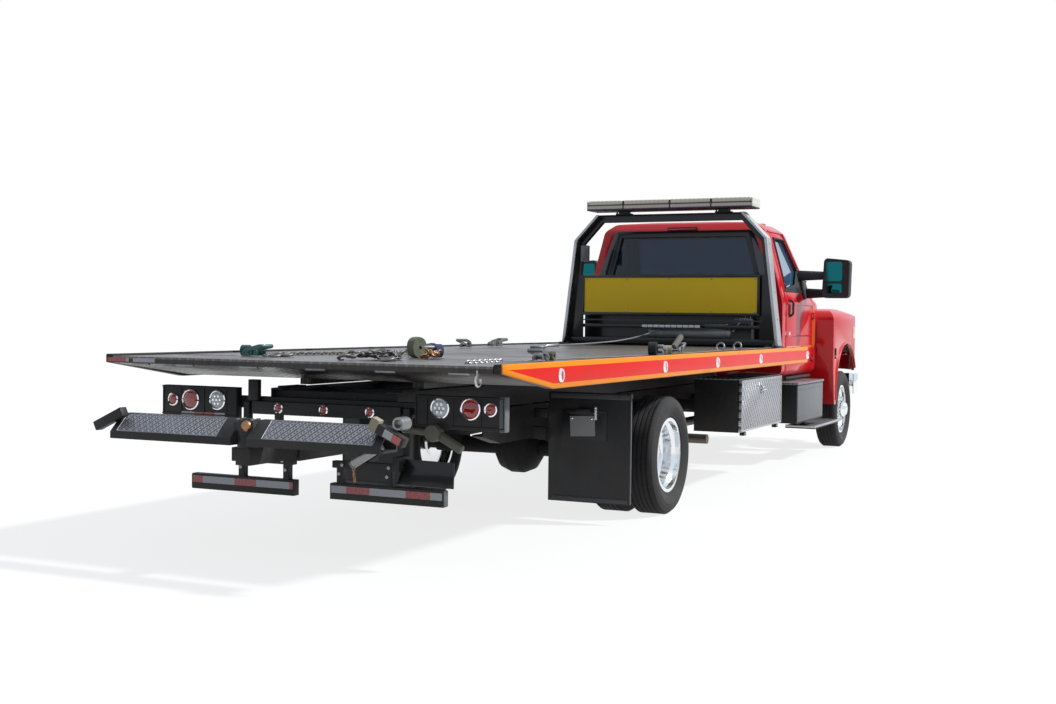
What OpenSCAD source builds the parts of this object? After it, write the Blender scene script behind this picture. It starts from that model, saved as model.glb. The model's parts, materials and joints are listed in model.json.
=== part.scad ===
// Flatbed tow truck: conventional cab, single rear axle with twin wheels,
// tilting and sliding flat bed, and a wheel lift behind the tail.
// Front of the truck faces -Y, its left side is +X, the ground is Z = 0.

/* [Layout] */
// Distance between the front and the rear axle
wheelbase = 5900; // [5000:10:6600]
// Front axle to the front face of the bumper
front_overhang = 850; // [780:10:1000]
// Front axle to the back wall of the cab
cab_behind_axle = 2160; // [2100:10:2500]
// Gap between the cab and the bed
cab_gap = 100; // [60:5:300]
// Length of the flat bed
bed_len = 6600; // [5600:10:7400]
// Reach of the wheel lift behind the bed
lift_tail = 450; // [400:10:700]

/* [Bed] */
// Height of the side rails' top above the ground
deck_height = 1140; // [1130:5:1400]
// Width over the side rails
bed_w = 2590; // [2300:10:2600]
// Height of a side rail
rail_h = 150; // [110:5:160]
// Length of the tapered tail
tail_taper = 640; // [400:10:900]
// Height of the headboard above the deck
headboard_h = 1272; // [900:10:1500]
// Headboard behind the bed's front edge
headboard_set = 242; // [200:5:500]
// Width of the headboard at the deck
headboard_w = 2192; // [1900:10:2250]

/* [Chassis] */
// Width over the frame rails
frame_w = 860; // [780:10:900]
// Top of the frame rails above the ground
frame_top = 790; // [760:5:790]
// Height of a frame rail
frame_h = 230; // [180:5:260]

/* [Wheels] */
// Tyre diameter
tyre_d = 838; // [740:2:900]
// Tyre width
tyre_w = 245; // [210:5:280]
// Tyre bead diameter
bead_d = 504; // [450:2:560]
// Gap between twin tyres
dual_gap = 35; // [25:1:60]
// Width over the rear tyres
rear_track_w = 2398; // [2300:2:2500]
// Width over the front tyres
front_track_w = 2360; // [2300:2:2440]

/* [Cab] */
// Width of the cab at the doors
cab_w = 2040; // [1900:10:2100]
// Top of the roof above the ground
roof_top = 2370; // [2250:10:2600]
// Cab length from back wall to cowl
cab_len = 1460; // [1400:10:1700]
// Thickness of the walls and doors
wall = 50; // [35:1:70]
// Gap around a door
door_gap = 8; // [7:0.5:12]

/* [Boxes] */
// Length of a tool box
box_len = 1300; // [900:10:1600]
// Height of a tool box
box_h = 435; // [300:5:500]
// Depth of a tool box
box_depth = 410; // [300:5:450]

/* [Lift] */
// Width of the wheel lift crossbar
crossbar_w = 1700; // [1400:10:2000]
// Width and height of the lift's inner boom
stinger_w = 90; // [70:2:110]

/* [Hidden] */
$fn = 48;
fit = 0.3;
overall_len = front_overhang + cab_behind_axle + cab_gap + bed_len + lift_tail;
y_front = -overall_len / 2;
axle_f = y_front + front_overhang;
axle_r = axle_f + wheelbase;
axle_z = tyre_d / 2;
cab_back = axle_f + cab_behind_axle;
cab_front = cab_back - cab_len;
bed_front = cab_back + cab_gap;
bed_tail = bed_front + bed_len;
y_rear = bed_tail + lift_tail;

frame_half = frame_w / 2;
rail_w = 80;
frame_web = 10;
frame_front = y_front + 180;
frame_rear = bed_tail - 1500;
frame_bottom = frame_top - frame_h;

// tilt frame, which carries the bed and the lift
pivot_y = frame_rear - 120;
pivot_z = frame_top - 50;
pivot_r = 30;
tilt_gap = 10;
tilt_bottom = frame_top + tilt_gap;
tilt_top = deck_height - 190;
tilt_front = bed_front + 150;
tilt_rear = bed_tail - 430;
tilt_w = 75;
pad_t = tilt_gap - fit;

// bed, from the deck's surface down
deck_top = deck_height - 12;
deck_t = 8;
joist_h = 80;
joist_bottom = deck_top - deck_t - joist_h;
runner_bottom = tilt_top + tilt_gap;
runner_rear = bed_tail - 730;
side_rail_w = 55;
rail_bottom = deck_height - rail_h;
tail_edge = 50;
bed_half = bed_w / 2;

// tilt cylinders, at their lowest
ram_x = 250;
ram_base_y = pivot_y - 3510;
ram_base_z = 600;
ram_eye_y = pivot_y - 1710;
ram_eye_z = 850;
ram_len = norm([ram_eye_y - ram_base_y, ram_eye_z - ram_base_z]);
ram_angle = atan2(ram_eye_z - ram_base_z, ram_eye_y - ram_base_y);
ram_barrel_r = 55;
ram_rod_r = 28;
ram_pin_r = 20;
ram_eye_bore = 42;
ram_barrel_len = ram_len - 190;

// slide cylinder under the deck
slide_rod_r = 22;
slide_barrel_r = 40;
slide_z = tilt_top + 42;
slide_start = tilt_front + 40;
slide_len = 3420;

// headboard and winch
board_y = bed_front + headboard_set;
board_t = 60;
post_w = 75;
board_half = headboard_w / 2;
board_top = deck_height + headboard_h;
bend_z = board_top - 254;
bend_in = 121;
top_half = board_half - 355;
winch_y = bed_front + 130;
winch_z = deck_top + 130;
drum_r = 60;
drum_flange_r = 88;
drum_x0 = -540;
drum_x1 = 180;
drum_shaft_r = 20;

// wheels
bead_r = bead_d / 2;
rim_w = 171;
front_tyre_x = front_track_w / 2 - tyre_w / 2;
rear_outer_x = rear_track_w / 2 - tyre_w / 2;
rear_inner_x = rear_outer_x - tyre_w - dual_gap;
rear_disc_x = (rear_outer_x + rear_inner_x) / 2;
front_spindle_r = 35;
rear_spindle_r = 45;
kingpin_x = front_tyre_x - 152;
kingpin_r = 14;

// springs
front_spring_x = frame_half - 45;
rear_spring_x = frame_half + 60;
spring_w = 70;
leaf_z = axle_z + 100;
leaf_lift = 25;

// cab
cab_half = cab_w / 2;
cab_bottom = frame_top + 30;
belt_z = 1560;
cab_floor = cab_bottom + wall;
roof_half = cab_half - 190;
roof_edge = roof_top - 100;
ws_base_y = cab_front + 130;
ws_base_z = 1600;
ws_top_y = cab_back - 690;
ws_top_z = roof_top - 30;
ws_slope = (ws_top_y - ws_base_y) / (ws_top_z - ws_base_z);
door_front = cab_front + 210;
door_rear = cab_back - 170;
door_bottom = cab_bottom + 12;
door_top = roof_edge - 5;
pillar = 105;
hinge_x = cab_half + 14;
hinge_y = door_front - door_gap / 2;
hinge_r = 7;
hinge_zs = [1000, 1440];
glass_t = 6;
wheel_c = [430, cab_front + 560, 1500];
wheel_tilt = 50;
wheel_axis = [0, sin(wheel_tilt), cos(wheel_tilt)];
shaft_r = 12;

// hood
hood_rear = cab_front - 10;
hood_front = y_front + 80;
hood_half = 800;
hood_rear_z = 1600;
hood_front_z = 1500;
fender_half = front_track_w / 2 + 20;
fender_rear_z = 1515;
fender_front_z = 1450;
fender_low = 500;
hood_low = 840;
hood_t = 30;
arch_r = tyre_d / 2 + 110;
arch_lift = 180;
hood_axis_y = hood_front + 60;
hood_axis_z = 865;
hood_pin_r = 18;
grille_w = 1000;
grille_z0 = 960;
grille_z1 = 1340;

// boxes along the sides
side_x = rear_track_w / 2;
box_rear = bed_front + 1900;
box_front = box_rear - box_len;
box_bottom = 450;
box_door_t = 25;
box_wall = 15;
box_hinge_x = side_x - box_door_t / 2;
box_hinge_z = box_bottom - 16;
step_front = cab_back - 1000;
step_rear = cab_back + 100;
step_bottom = 400;
step_top = 770;
step_depth = 480;
flap_y = axle_r + tyre_d / 2 + 240;
flap_x = rear_spring_x + spring_w / 2 + 5;

// exhaust, on the right between the frame and the boxes
muffler_x = -frame_half - 145;
muffler_r = 95;
pipe_r = 38;
pipe_z = frame_bottom - 70;

// wheel lift
boom_y = bed_tail - 900;
boom_z = 640;
boom_w = stinger_w + 26;
boom_wall = 12;
boom_rear = bed_tail - 20;
lift_pin_r = 24;
swivel_r = 28;
bar_y = y_rear - 90;
bar_bottom = 700;
bar_top = 830;
bar_depth = 170;
bar_gap = 100;

// ---- helpers ----

// copies its children onto both sides
module both() {
    children();
    mirror([1, 0, 0]) children();
}

// box from one corner to the opposite one
module block(low, high) {
    translate(low) cube(high - low);
}

// outline given as (y, z), extruded from x0 to x1
module side_plate(x0, x1) {
    translate([x0, 0, 0]) rotate([90, 0, 90]) linear_extrude(x1 - x0) children();
}

// outline given as (x, z), extruded from y0 to y1
module front_plate(y0, y1) {
    translate([0, y1, 0]) rotate([90, 0, 0]) linear_extrude(y1 - y0) children();
}

// round bar along X
module bar_x(r, x0, x1, y, z) {
    translate([x0, y, z]) rotate([0, 90, 0]) cylinder(r = r, h = x1 - x0);
}

// turns (radius, offset) outlines about the X axis at the point (x, y, z)
module turned(x, y, z) {
    translate([x, y, z]) rotate([0, 90, 0]) rotate_extrude($fn = 96) children();
}

// rounds the corners of a flat outline that point outwards
module rounded(r) {
    offset(r = r, $fn = 32) offset(delta = -r) children();
}

// ---- chassis ----

module frame_rail() {
    chamfer = 60;
    side_plate(frame_half - rail_w, frame_half) polygon([
        [frame_front, frame_bottom + 60], [frame_front + 300, frame_bottom],
        [frame_rear - 250, frame_bottom], [frame_rear, frame_bottom + 60],
        [frame_rear, frame_top - chamfer], [pivot_y - 40, frame_top],
        [frame_front, frame_top]]);
}

module rail_hollow() {
    block([frame_half - rail_w - 1, frame_front - 1, frame_bottom + 60 + frame_web],
        [frame_half - frame_web, frame_rear + 1, frame_top - 60 - frame_web]);
    block([frame_half - rail_w - 1, frame_front + 310, frame_bottom + frame_web],
        [frame_half - frame_web, frame_rear - 260, frame_top - frame_web]);
}

module chassis_frame() color("#1c1d20") {
    cross_ys = [frame_front + 60, cab_back - 300, ram_base_y - 110, axle_r - 760, axle_r + 760];
    inner = frame_half - frame_web;
    both() difference() {
        frame_rail();
        rail_hollow();
    }
    for (y = cross_ys)
        block([-inner, y - 35, frame_bottom + 70], [inner, y + 35, frame_bottom + 130]);
    // tube that the tilt frame hinges on
    bar_x(pivot_r, -inner, inner, pivot_y, pivot_z);
    // rest pads under the tilt frame
    both() for (y = [tilt_front + 120, axle_r - 900, axle_r + 700])
        block([frame_half - 70, y, frame_top], [frame_half - 10, y + 160, frame_top + pad_t]);
    // cab mounts
    both() for (y = [cab_back - 200, cab_front + 150])
        block([frame_half - 70, y, frame_top], [frame_half - 10, y + 90, cab_bottom]);
    // hangers of the front and rear springs
    both() spring_hangers(axle_f, front_spring_x, 600);
    both() spring_hangers(axle_r, rear_spring_x, 680);
    // hinge tube of the hood and its arms
    both() block([frame_half - rail_w, hood_axis_y - 20, hood_axis_z - 20],
        [frame_half - rail_w + 20, hood_axis_y + 90, hood_axis_z + 20]);
    both() block([frame_half - rail_w, hood_axis_y + 50, frame_top],
        [frame_half - rail_w + 20, hood_axis_y + 90, hood_axis_z]);
    bar_x(hood_pin_r, -frame_half + rail_w, frame_half - rail_w, hood_axis_y, hood_axis_z);
    // base pins of the tilt cylinders
    both() bar_x(ram_pin_r, ram_x - 62, inner, ram_base_y, ram_base_z);
    both() block([ram_x - 62, ram_base_y - 80, ram_base_z - 30],
        [ram_x - 42, ram_base_y + 30, frame_bottom + 100]);
}

module spring_hangers(axle, x, reach) {
    for (end = [-1, 1])
        block([min(x - spring_w / 2, frame_half - 30), axle + end * reach - 35, leaf_z + 12 + leaf_lift],
            [max(x + spring_w / 2, frame_half - 20), axle + end * reach + 35, frame_bottom + 75]);
}

// height of a leaf's curve at a share of its reach
function leaf_curve(share) = leaf_z + leaf_lift * share * share;

module leaf_pack(axle, x, reach) {
    steps = 5;
    leaf_t = 12;
    for (i = [0:3]) side_plate(x - spring_w / 2, x + spring_w / 2) polygon([
        for (j = [i - steps:steps - i]) [axle + reach * j / steps, leaf_curve(j / steps) + leaf_t * (1 - i)],
        for (j = [steps - i:-1:i - steps]) [axle + reach * j / steps, leaf_curve(j / steps) - leaf_t * i]]);
}

module leaf_springs() color("#26272a") {
    both() leaf_pack(axle_f, front_spring_x, 600);
    both() leaf_pack(axle_r, rear_spring_x, 680);
}

module front_axle() color("#232427") {
    drop = 80;
    boss_h = 60;
    beam = 45;
    pad_half = front_spring_x + spring_w / 2;
    difference() {
        union() {
            front_plate(axle_f - beam, axle_f + beam) polygon([
                [-kingpin_x, axle_z - 28], [-kingpin_x, axle_z + 28], [-kingpin_x + 130, axle_z + 28],
                [-pad_half - 60, axle_z - drop + 60], [pad_half + 60, axle_z - drop + 60],
                [kingpin_x - 130, axle_z + 28], [kingpin_x, axle_z + 28], [kingpin_x, axle_z - 28],
                [kingpin_x - 150, axle_z - 28], [pad_half + 40, axle_z - drop - 10],
                [-pad_half - 40, axle_z - drop - 10], [-kingpin_x + 150, axle_z - 28]]);
            both() translate([kingpin_x, axle_f, axle_z - boss_h / 2]) cylinder(r = 40, h = boss_h);
            // spring seats
            both() block([front_spring_x - spring_w / 2, axle_f - 60, axle_z - drop],
                [front_spring_x + spring_w / 2, axle_f + 60, leaf_z - 36]);
        }
        both() translate([kingpin_x, axle_f, 0]) cylinder(r = kingpin_r + fit, h = tyre_d);
        // room for the knuckle around the boss
        both() for (z = [axle_z - 100, axle_z + 30])
            translate([kingpin_x, axle_f, z]) cylinder(r = 52, h = 70);
    }
}

module rear_axle() color("#26272a") {
    tube_r = 60;
    tube_end = rear_inner_x - 105;
    gearbox_y = cab_back + 305;
    gearbox_z = frame_bottom;
    shaft_len = norm([axle_r - 150 - gearbox_y, gearbox_z - axle_z]);
    shaft_slope = atan2(gearbox_z - axle_z, axle_r - 150 - gearbox_y);
    bar_x(tube_r, -tube_end, tube_end, axle_r, axle_z);
    bar_x(rear_spindle_r, -rear_disc_x - 50, rear_disc_x + 50, axle_r, axle_z);
    turned(0, axle_r, axle_z) polygon([[0, -170], [90, -170], [160, -120], [190, -45], [190, 45],
        [160, 120], [90, 170], [0, 170]]);
    both() block([rear_spring_x - spring_w / 2, axle_r - 70, axle_z],
        [rear_spring_x + spring_w / 2, axle_r + 70, leaf_z - 36]);
    // drive shaft to the gearbox
    translate([0, axle_r - 150, axle_z]) rotate([90 - shaft_slope, 0, 0]) cylinder(r = 42, h = shaft_len);
}

module engine() color("#3a3b3d") {
    block([-330, axle_f - 420, frame_bottom + 10], [330, cab_front - 60, 1330]);
    block([-180, cab_front - 60, frame_bottom - 120], [180, cab_back - 350, cab_bottom - 20]);
    bar_x(45, -frame_half + frame_web, frame_half - frame_web, axle_f + 200, frame_bottom + 70);
    // tail shaft of the gearbox
    block([-90, cab_back - 350, frame_bottom - 60], [90, cab_back + 300, frame_bottom + 60]);
}

module exhaust() color("#55514c") {
    engine_side = -180;
    front_y = cab_back - 1280;
    tail_y = box_rear + 320;
    muffler_z = frame_bottom - 40;
    path = [[engine_side, front_y, pipe_z], [muffler_x, front_y, pipe_z],
        [muffler_x, cab_back - 700, pipe_z], [muffler_x, tail_y, pipe_z],
        [muffler_x - 150, tail_y + 150, pipe_z - 60], [muffler_x - 480, tail_y + 150, pipe_z - 60]];
    for (i = [0:len(path) - 2])
        rod(path[i], path[i + 1], pipe_r);
    for (i = [1:len(path) - 2])
        translate(path[i]) sphere(r = pipe_r + 5);
    translate([muffler_x, cab_back, muffler_z]) rotate([90, 0, 0]) cylinder(r = muffler_r, h = 800);
    // straps to the frame
    for (y = [cab_back - 700, cab_back - 140])
        block([muffler_x, y, frame_bottom + 20], [-frame_half, y + 40, frame_bottom + 45]);
    block([muffler_x - 15, box_front + 400, pipe_z + 20], [muffler_x + 15, box_front + 440, frame_bottom + 45]);
    block([muffler_x - 15, box_front + 400, frame_bottom + 20], [-frame_half, box_front + 440, frame_bottom + 45]);
}

// ---- side boxes ----

module step_box() {
    brace_z = 640;
    difference() {
        union() {
            block([side_x - step_depth, step_front, step_bottom], [side_x, step_rear, step_top]);
            block([frame_half, step_front + 150, brace_z], [side_x - step_depth, step_front + 230, brace_z + 90]);
            block([frame_half, step_rear - 230, brace_z], [side_x - step_depth, step_rear - 150, brace_z + 90]);
        }
        block([side_x - step_depth + 12, step_front + 12, step_bottom + 12],
            [side_x - 12, step_rear - 12, step_top - 12]);
    }
    // lower tread and its brackets
    block([side_x - 260, cab_back - 1650, 310], [side_x + 40, cab_back - 500, 335]);
    for (y = [step_front + 60, cab_back - 620])
        block([side_x - 200, y, 335], [side_x - 160, y + 60, step_bottom]);
}

module step_boxes() color("#8f9092") both() step_box();

module tool_box() {
    top = box_bottom + box_h;
    inner_x = side_x - box_depth;
    difference() {
        block([inner_x, box_front, box_bottom], [side_x - box_door_t - 5, box_rear, top]);
        block([inner_x + box_wall, box_front + box_wall, box_bottom + box_wall],
            [side_x, box_rear - box_wall, top - box_wall]);
    }
    for (y = [box_front + 150, box_rear - 230])
        block([frame_half, y, frame_top - 170], [inner_x, y + 80, frame_top - 90]);
    // hinge pin under the door and its ears
    for (y = [box_front + 100, box_rear - 160])
        block([side_x - box_door_t - 18, y, box_bottom - 30], [side_x - box_door_t / 2 + 10, y + 12, box_bottom]);
    for (y = [box_front + 160, box_rear - 100])
        block([side_x - box_door_t - 18, y - 12, box_bottom - 30], [side_x - box_door_t / 2 + 10, y, box_bottom]);
    for (y = [box_front + 100, box_rear - 160])
        translate([box_hinge_x, y + 60, box_hinge_z]) rotate([90, 0, 0]) cylinder(r = 6, h = 60);
}

module tool_boxes() color("#202124") both() tool_box();

module tool_door() {
    top = box_bottom + box_h;
    difference() {
        union() {
            block([side_x - box_door_t, box_front, box_bottom + 6], [side_x, box_rear, top]);
            for (y = [box_front + 130, box_rear - 130])
                translate([box_hinge_x, y + 14, box_hinge_z]) rotate([90, 0, 0]) cylinder(r = 11, h = 28);
            for (y = [box_front + 130, box_rear - 130])
                block([side_x - 8, y - 14, box_hinge_z], [side_x - 2, y + 14, box_bottom + 10]);
        }
        for (y = [box_front + 130, box_rear - 130])
            translate([box_hinge_x, y + 40, box_hinge_z]) rotate([90, 0, 0]) cylinder(r = 6 + fit, h = 80);
    }
    // paddle latch
    block([side_x, (box_front + box_rear) / 2 - 60, top - 130], [side_x + 8, (box_front + box_rear) / 2 + 60, top - 60]);
}

module tool_door_left() color("#c9ccce") tool_door();

module tool_door_right() color("#c9ccce") mirror([1, 0, 0]) tool_door();

module mud_flap() {
    block([flap_x, flap_y, 135], [1130, flap_y + 8, 880]);
    block([frame_half, flap_y - 30, 700], [flap_x, flap_y + 38, 760]);
    block([flap_x, flap_y - 30, 700], [flap_x + 40, flap_y, 760]);
    block([flap_x, flap_y - 24, 850], [1130, flap_y, 880]);
    block([flap_x, flap_y - 24, 760], [flap_x + 30, flap_y, 850]);
}

module mud_flaps() color("#151517") {
    both() mud_flap();
    // licence plate bracket
    mirror([1, 0, 0]) licence_plate();
}

module licence_plate() {
    difference() {
        block([640, flap_y + 8, 560], [960, flap_y + 20, 760]);
        for (x = [710, 890])
            translate([x, flap_y + 30, 730]) rotate([90, 0, 0]) cylinder(r = 3.5, h = 40);
    }
}

module front_bumper() color("#d6d8da") {
    low = 560;
    high = 790;
    translate([0, 0, low]) linear_extrude(high - low, convexity = 4) difference() {
        bumper_outline(0);
        translate([0, 12]) bumper_outline(12);
    }
    // horns on the frame
    both() block([frame_half - 60, y_front + 6, frame_bottom + 70],
        [frame_half - 20, frame_front, frame_bottom + 150]);
}

module bumper_outline(inset) {
    tip = 380 + inset;
    side = fender_half - 10 - inset;
    polygon([[-side, y_front + tip], [-side, y_front + 150], [-side + 110, y_front + 40],
        [-500, y_front], [500, y_front], [side - 110, y_front + 40], [side, y_front + 150],
        [side, y_front + tip]]);
}

// ---- cab ----

// front edge of the side windows, parallel to the windshield
function slope_y(gap, z) = ws_base_y + gap + (z - ws_base_z) * ws_slope;

module cab_side_outline() {
    rounded(70) polygon([
        [cab_back, cab_bottom], [cab_back, roof_edge], [cab_back - 60, roof_top - 12],
        [cab_back - 330, roof_top], [ws_top_y, ws_top_z], [ws_base_y, ws_base_z],
        [cab_front, ws_base_z - 30], [cab_front, cab_bottom + 80], [cab_front + 90, cab_bottom]]);
}

module cab_front_outline() {
    rounded(100) polygon([
        [-cab_half, cab_bottom], [-cab_half, belt_z], [-roof_half, roof_edge],
        [-roof_half + 110, roof_top - 25], [0, roof_top], [roof_half - 110, roof_top - 25],
        [roof_half, roof_edge], [cab_half, belt_z], [cab_half, cab_bottom]]);
}

// the cab's shape, shrunk by inset on every side
module cab_solid(inset) {
    intersection() {
        side_plate(-cab_half, cab_half) offset(delta = -inset) cab_side_outline();
        front_plate(cab_front - 10, cab_back + 10) offset(delta = -inset) cab_front_outline();
    }
}

// what a door takes out of the cab's side, from the sill to the roof
module door_zone(grow) {
    inner = cab_half - wall - grow;
    intersection() {
        side_plate(roof_half - 150, cab_half + 1) door_outline(grow);
        front_plate(cab_front, cab_back) polygon([[inner, cab_bottom - 1], [inner, belt_z - 200],
            [inner - 20, belt_z], [roof_half - wall - 20, roof_top], [cab_half + 1, roof_top],
            [cab_half + 1, cab_bottom - 1]]);
    }
}

module door_outline(grow) {
    offset(delta = grow) polygon([
        [door_rear, door_bottom], [door_rear, door_top], [slope_y(pillar, door_top), door_top],
        [door_front, ws_base_z + (door_front - ws_base_y - pillar) / ws_slope],
        [door_front, door_bottom]]);
}

module side_window_outline(inset) {
    low = belt_z + 140;
    high = door_top - 65;
    round_r = 30;
    offset(r = round_r - inset, $fn = 24) offset(delta = -round_r) polygon([
        [door_rear - 75, low], [door_rear - 75, high], [slope_y(pillar + 75, high), high],
        [slope_y(pillar + 75, low), low]]);
}

module rear_window_outline(inset) {
    round_r = 50;
    offset(r = round_r - inset, $fn = 24) offset(delta = -round_r) polygon([
        [-cab_half + 200, belt_z + 60], [-roof_half + 160, roof_edge - 30],
        [roof_half - 160, roof_edge - 30], [cab_half - 200, belt_z + 60]]);
}

module windshield_outline(inset) {
    round_r = 50;
    offset(r = round_r - inset, $fn = 24) offset(delta = -round_r) polygon([
        [-cab_half + 110, ws_base_z + 50], [-roof_half + 70, roof_edge - 10],
        [roof_half - 70, roof_edge - 10], [cab_half - 110, ws_base_z + 50]]);
}

module cab_shell() color("#a3161c") {
    difference() {
        cab_solid(0);
        cab_solid(wall);
        both() door_zone(door_gap);
        front_plate(cab_back - wall - 60, cab_back + 1) rear_window_outline(0);
        front_plate(cab_front - 1, ws_top_y + 20) windshield_outline(0);
    }
    both() for (z = hinge_zs) cab_hinge(z);
}

module cab_hinge(z) {
    translate([hinge_x, hinge_y, z - 34]) cylinder(r = hinge_r, h = 68);
    for (low = [z - 34, z + 22]) {
        translate([hinge_x, hinge_y, low]) cylinder(r = 13, h = 12);
        block([cab_half - 15, door_front - 50, low], [hinge_x, hinge_y - 4, low + 12]);
    }
}

module cab_glass() color("#2c3a44") {
    intersection() {
        glass_skin();
        union() {
            front_plate(cab_back - wall, cab_back + 1) rear_window_outline(fit);
            front_plate(cab_front - 1, ws_top_y + 20) windshield_outline(fit);
        }
    }
}

// thin skin half way through the cab's walls
module glass_skin() {
    difference() {
        cab_solid(wall / 2 - glass_t / 2);
        cab_solid(wall / 2 + glass_t / 2);
    }
}

module door() {
    difference() {
        intersection() {
            difference() {
                cab_solid(0);
                cab_solid(wall);
            }
            door_zone(0);
        }
        side_plate(roof_half - 150, cab_half + 1) side_window_outline(0);
    }
    for (z = hinge_zs) difference() {
        union() {
            translate([hinge_x, hinge_y, z - 16]) cylinder(r = 13, h = 32);
            block([cab_half - 15, hinge_y + 4, z - 16], [hinge_x, door_front + 50, z + 16]);
        }
        translate([hinge_x, hinge_y, z - 20]) cylinder(r = hinge_r + fit, h = 40);
    }
}

module door_glass() {
    intersection() {
        glass_skin();
        side_plate(roof_half - 150, cab_half + 1) side_window_outline(fit);
    }
}

module door_left() color("#a3161c") door();

module door_right() color("#a3161c") mirror([1, 0, 0]) door();

module door_glass_left() color("#2c3a44") door_glass();

module door_glass_right() color("#2c3a44") mirror([1, 0, 0]) door_glass();

// round bar from one point to another
module rod(a, b, r) {
    d = b - a;
    translate(a) rotate([0, acos(d.z / norm(d)), atan2(d.y, d.x)]) cylinder(r = r, h = norm(d));
}

module side_mirror() {
    head_y = door_front + 400;
    arm_r = 14;
    head_x0 = cab_half + 200;
    head_x1 = head_x0 + 280;
    difference() {
        union() {
            for (z = [belt_z + 110, belt_z + 290])
                rod([roof_half, slope_y(pillar + 30, z), z], [head_x0 + 60, head_y - 50, z], arm_r);
        }
        cab_solid(0);
    }
    difference() {
        translate([0, head_y + 70, 0]) rotate([90, 0, 0]) linear_extrude(120) offset(r = 40, $fn = 24)
            offset(delta = -40) polygon([[head_x0, belt_z + 60], [head_x1 - 10, belt_z + 60],
                [head_x1, belt_z + 440], [head_x0 + 20, belt_z + 465]]);
        // the mirror face is set in
        translate([0, head_y + 71, 0]) rotate([90, 0, 0]) linear_extrude(12) offset(r = 25, $fn = 24)
            offset(delta = -40) polygon([[head_x0, belt_z + 60], [head_x1 - 10, belt_z + 60],
                [head_x1, belt_z + 440], [head_x0 + 20, belt_z + 465]]);
    }
}

module mirror_left() color("#1a1b1e") side_mirror();

module mirror_right() color("#1a1b1e") mirror([1, 0, 0]) side_mirror();

module seat(x0, x1) {
    base = cab_floor;
    side_plate(x0, x1) offset(r = 30, $fn = 24) offset(delta = -30) polygon([
        [cab_back - wall - 90, base + 10], [cab_back - wall - 60, base + 900],
        [cab_back - wall - 190, base + 900], [cab_back - wall - 290, base + 400],
        [cab_back - wall - 760, base + 370], [cab_back - wall - 740, base + 230],
        [cab_back - wall - 650, base + 200], [cab_back - wall - 620, base]]);
}

module seats() color("#33363c") {
    seat(150, cab_half - 230);
    seat(-cab_half + 230, 50);
}

module along_column(start, length, r) {
    translate(wheel_c + start * wheel_axis) rotate([-wheel_tilt, 0, 0]) cylinder(r = r, h = length);
}

module dashboard() color("#2a2c30") {
    side = cab_half - wall - 12;
    difference() {
        union() {
            intersection() {
                side_plate(-side, side) polygon([
                    [cab_front + wall, 1160], [cab_front + wall, 1560], [cab_front + 190, 1585],
                    [cab_front + 380, 1520], [cab_front + 400, 1400], [cab_front + 260, 1160]]);
                cab_solid(wall);
            }
            along_column(-330, 260, 32);
        }
        along_column(-170, 200, shaft_r + fit);
    }
}

module steering_wheel() color("#141517") {
    along_column(-160, 150, shaft_r);
    along_column(-30, 45, 45);
    translate(wheel_c) rotate([-wheel_tilt, 0, 0]) {
        rotate_extrude($fn = 96) translate([205, 0]) circle(r = 14);
        for (a = [30, 150, 270]) rotate([0, 0, a]) translate([0, -14, -8]) cube([200, 28, 10]);
    }
}

// ---- hood with its fenders ----

// the hood's own outline; open runs it past its lower and rear edges, to hollow it out
module hood_outline(open) {
    low = open > 0 ? hood_low - 400 : hood_low;
    rear = open > 0 ? hood_rear + 200 : hood_rear;
    rear_z = hood_rear_z + (rear - hood_rear) * (hood_rear_z - hood_front_z) / (hood_rear - hood_front - 200);
    union() {
        rounded(110) polygon([[rear, low], [rear, rear_z + 12], [hood_front + 700, hood_front_z + 45],
            [hood_front + 250, hood_front_z], [hood_front + 50, hood_front_z - 60],
            [hood_front, hood_front_z - 190], [hood_front, low]]);
        polygon([[rear, low], [rear, rear_z], [rear - 160, rear_z - 8], [rear - 160, low]]);
        polygon([[hood_front, low], [hood_front, low + 160], [rear, low + 160], [rear, low]]);
    }
}

module fender_outline(open) {
    low = open > 0 ? fender_low - 200 : fender_low;
    front_low = open > 0 ? low : hood_low;
    union() {
        rounded(120) polygon([[hood_rear, hood_axis_z - 60], [hood_rear, fender_rear_z - 20],
            [axle_f + 420, fender_rear_z + 5], [axle_f + 150, fender_rear_z],
            [hood_front + 300, fender_front_z], [hood_front + 100, fender_front_z - 60],
            [hood_front + 20, fender_front_z - 220], [hood_front + 20, front_low]]);
        polygon([[hood_rear - 80, low], [hood_rear, hood_axis_z + 15], [hood_rear, hood_axis_z + 250],
            [axle_f, hood_axis_z + 250], [axle_f, low]]);
        polygon([[hood_front + 20, front_low], [hood_front + 20, hood_low + 200],
            [axle_f, hood_low + 200], [axle_f, front_low]]);
    }
}

module hood_plan() {
    rounded(140) polygon([[-fender_half, hood_rear + 300], [-fender_half, hood_front + 330],
        [-fender_half + 50, hood_front + 140], [-fender_half + 230, hood_front + 40], [-560, hood_front],
        [560, hood_front], [fender_half - 230, hood_front + 40], [fender_half - 50, hood_front + 140],
        [fender_half, hood_front + 330], [fender_half, hood_rear + 300]]);
}

// the hood and fenders seen from the front: crowned top, round shoulders
module hood_front_outline() {
    low = fender_low - 300;
    union() {
        rounded(120) polygon([[-fender_half, low], [-fender_half, fender_rear_z - 60],
            [-fender_half + 120, fender_rear_z + 20], [fender_half - 120, fender_rear_z + 20],
            [fender_half, fender_rear_z - 60], [fender_half, low]]);
        rounded(90) polygon([[-hood_half, low], [-hood_half, hood_rear_z - 70], [-hood_half + 170, hood_rear_z + 5],
            [0, hood_rear_z + 40], [hood_half - 170, hood_rear_z + 5], [hood_half, hood_rear_z - 70],
            [hood_half, low]]);
    }
}

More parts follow.
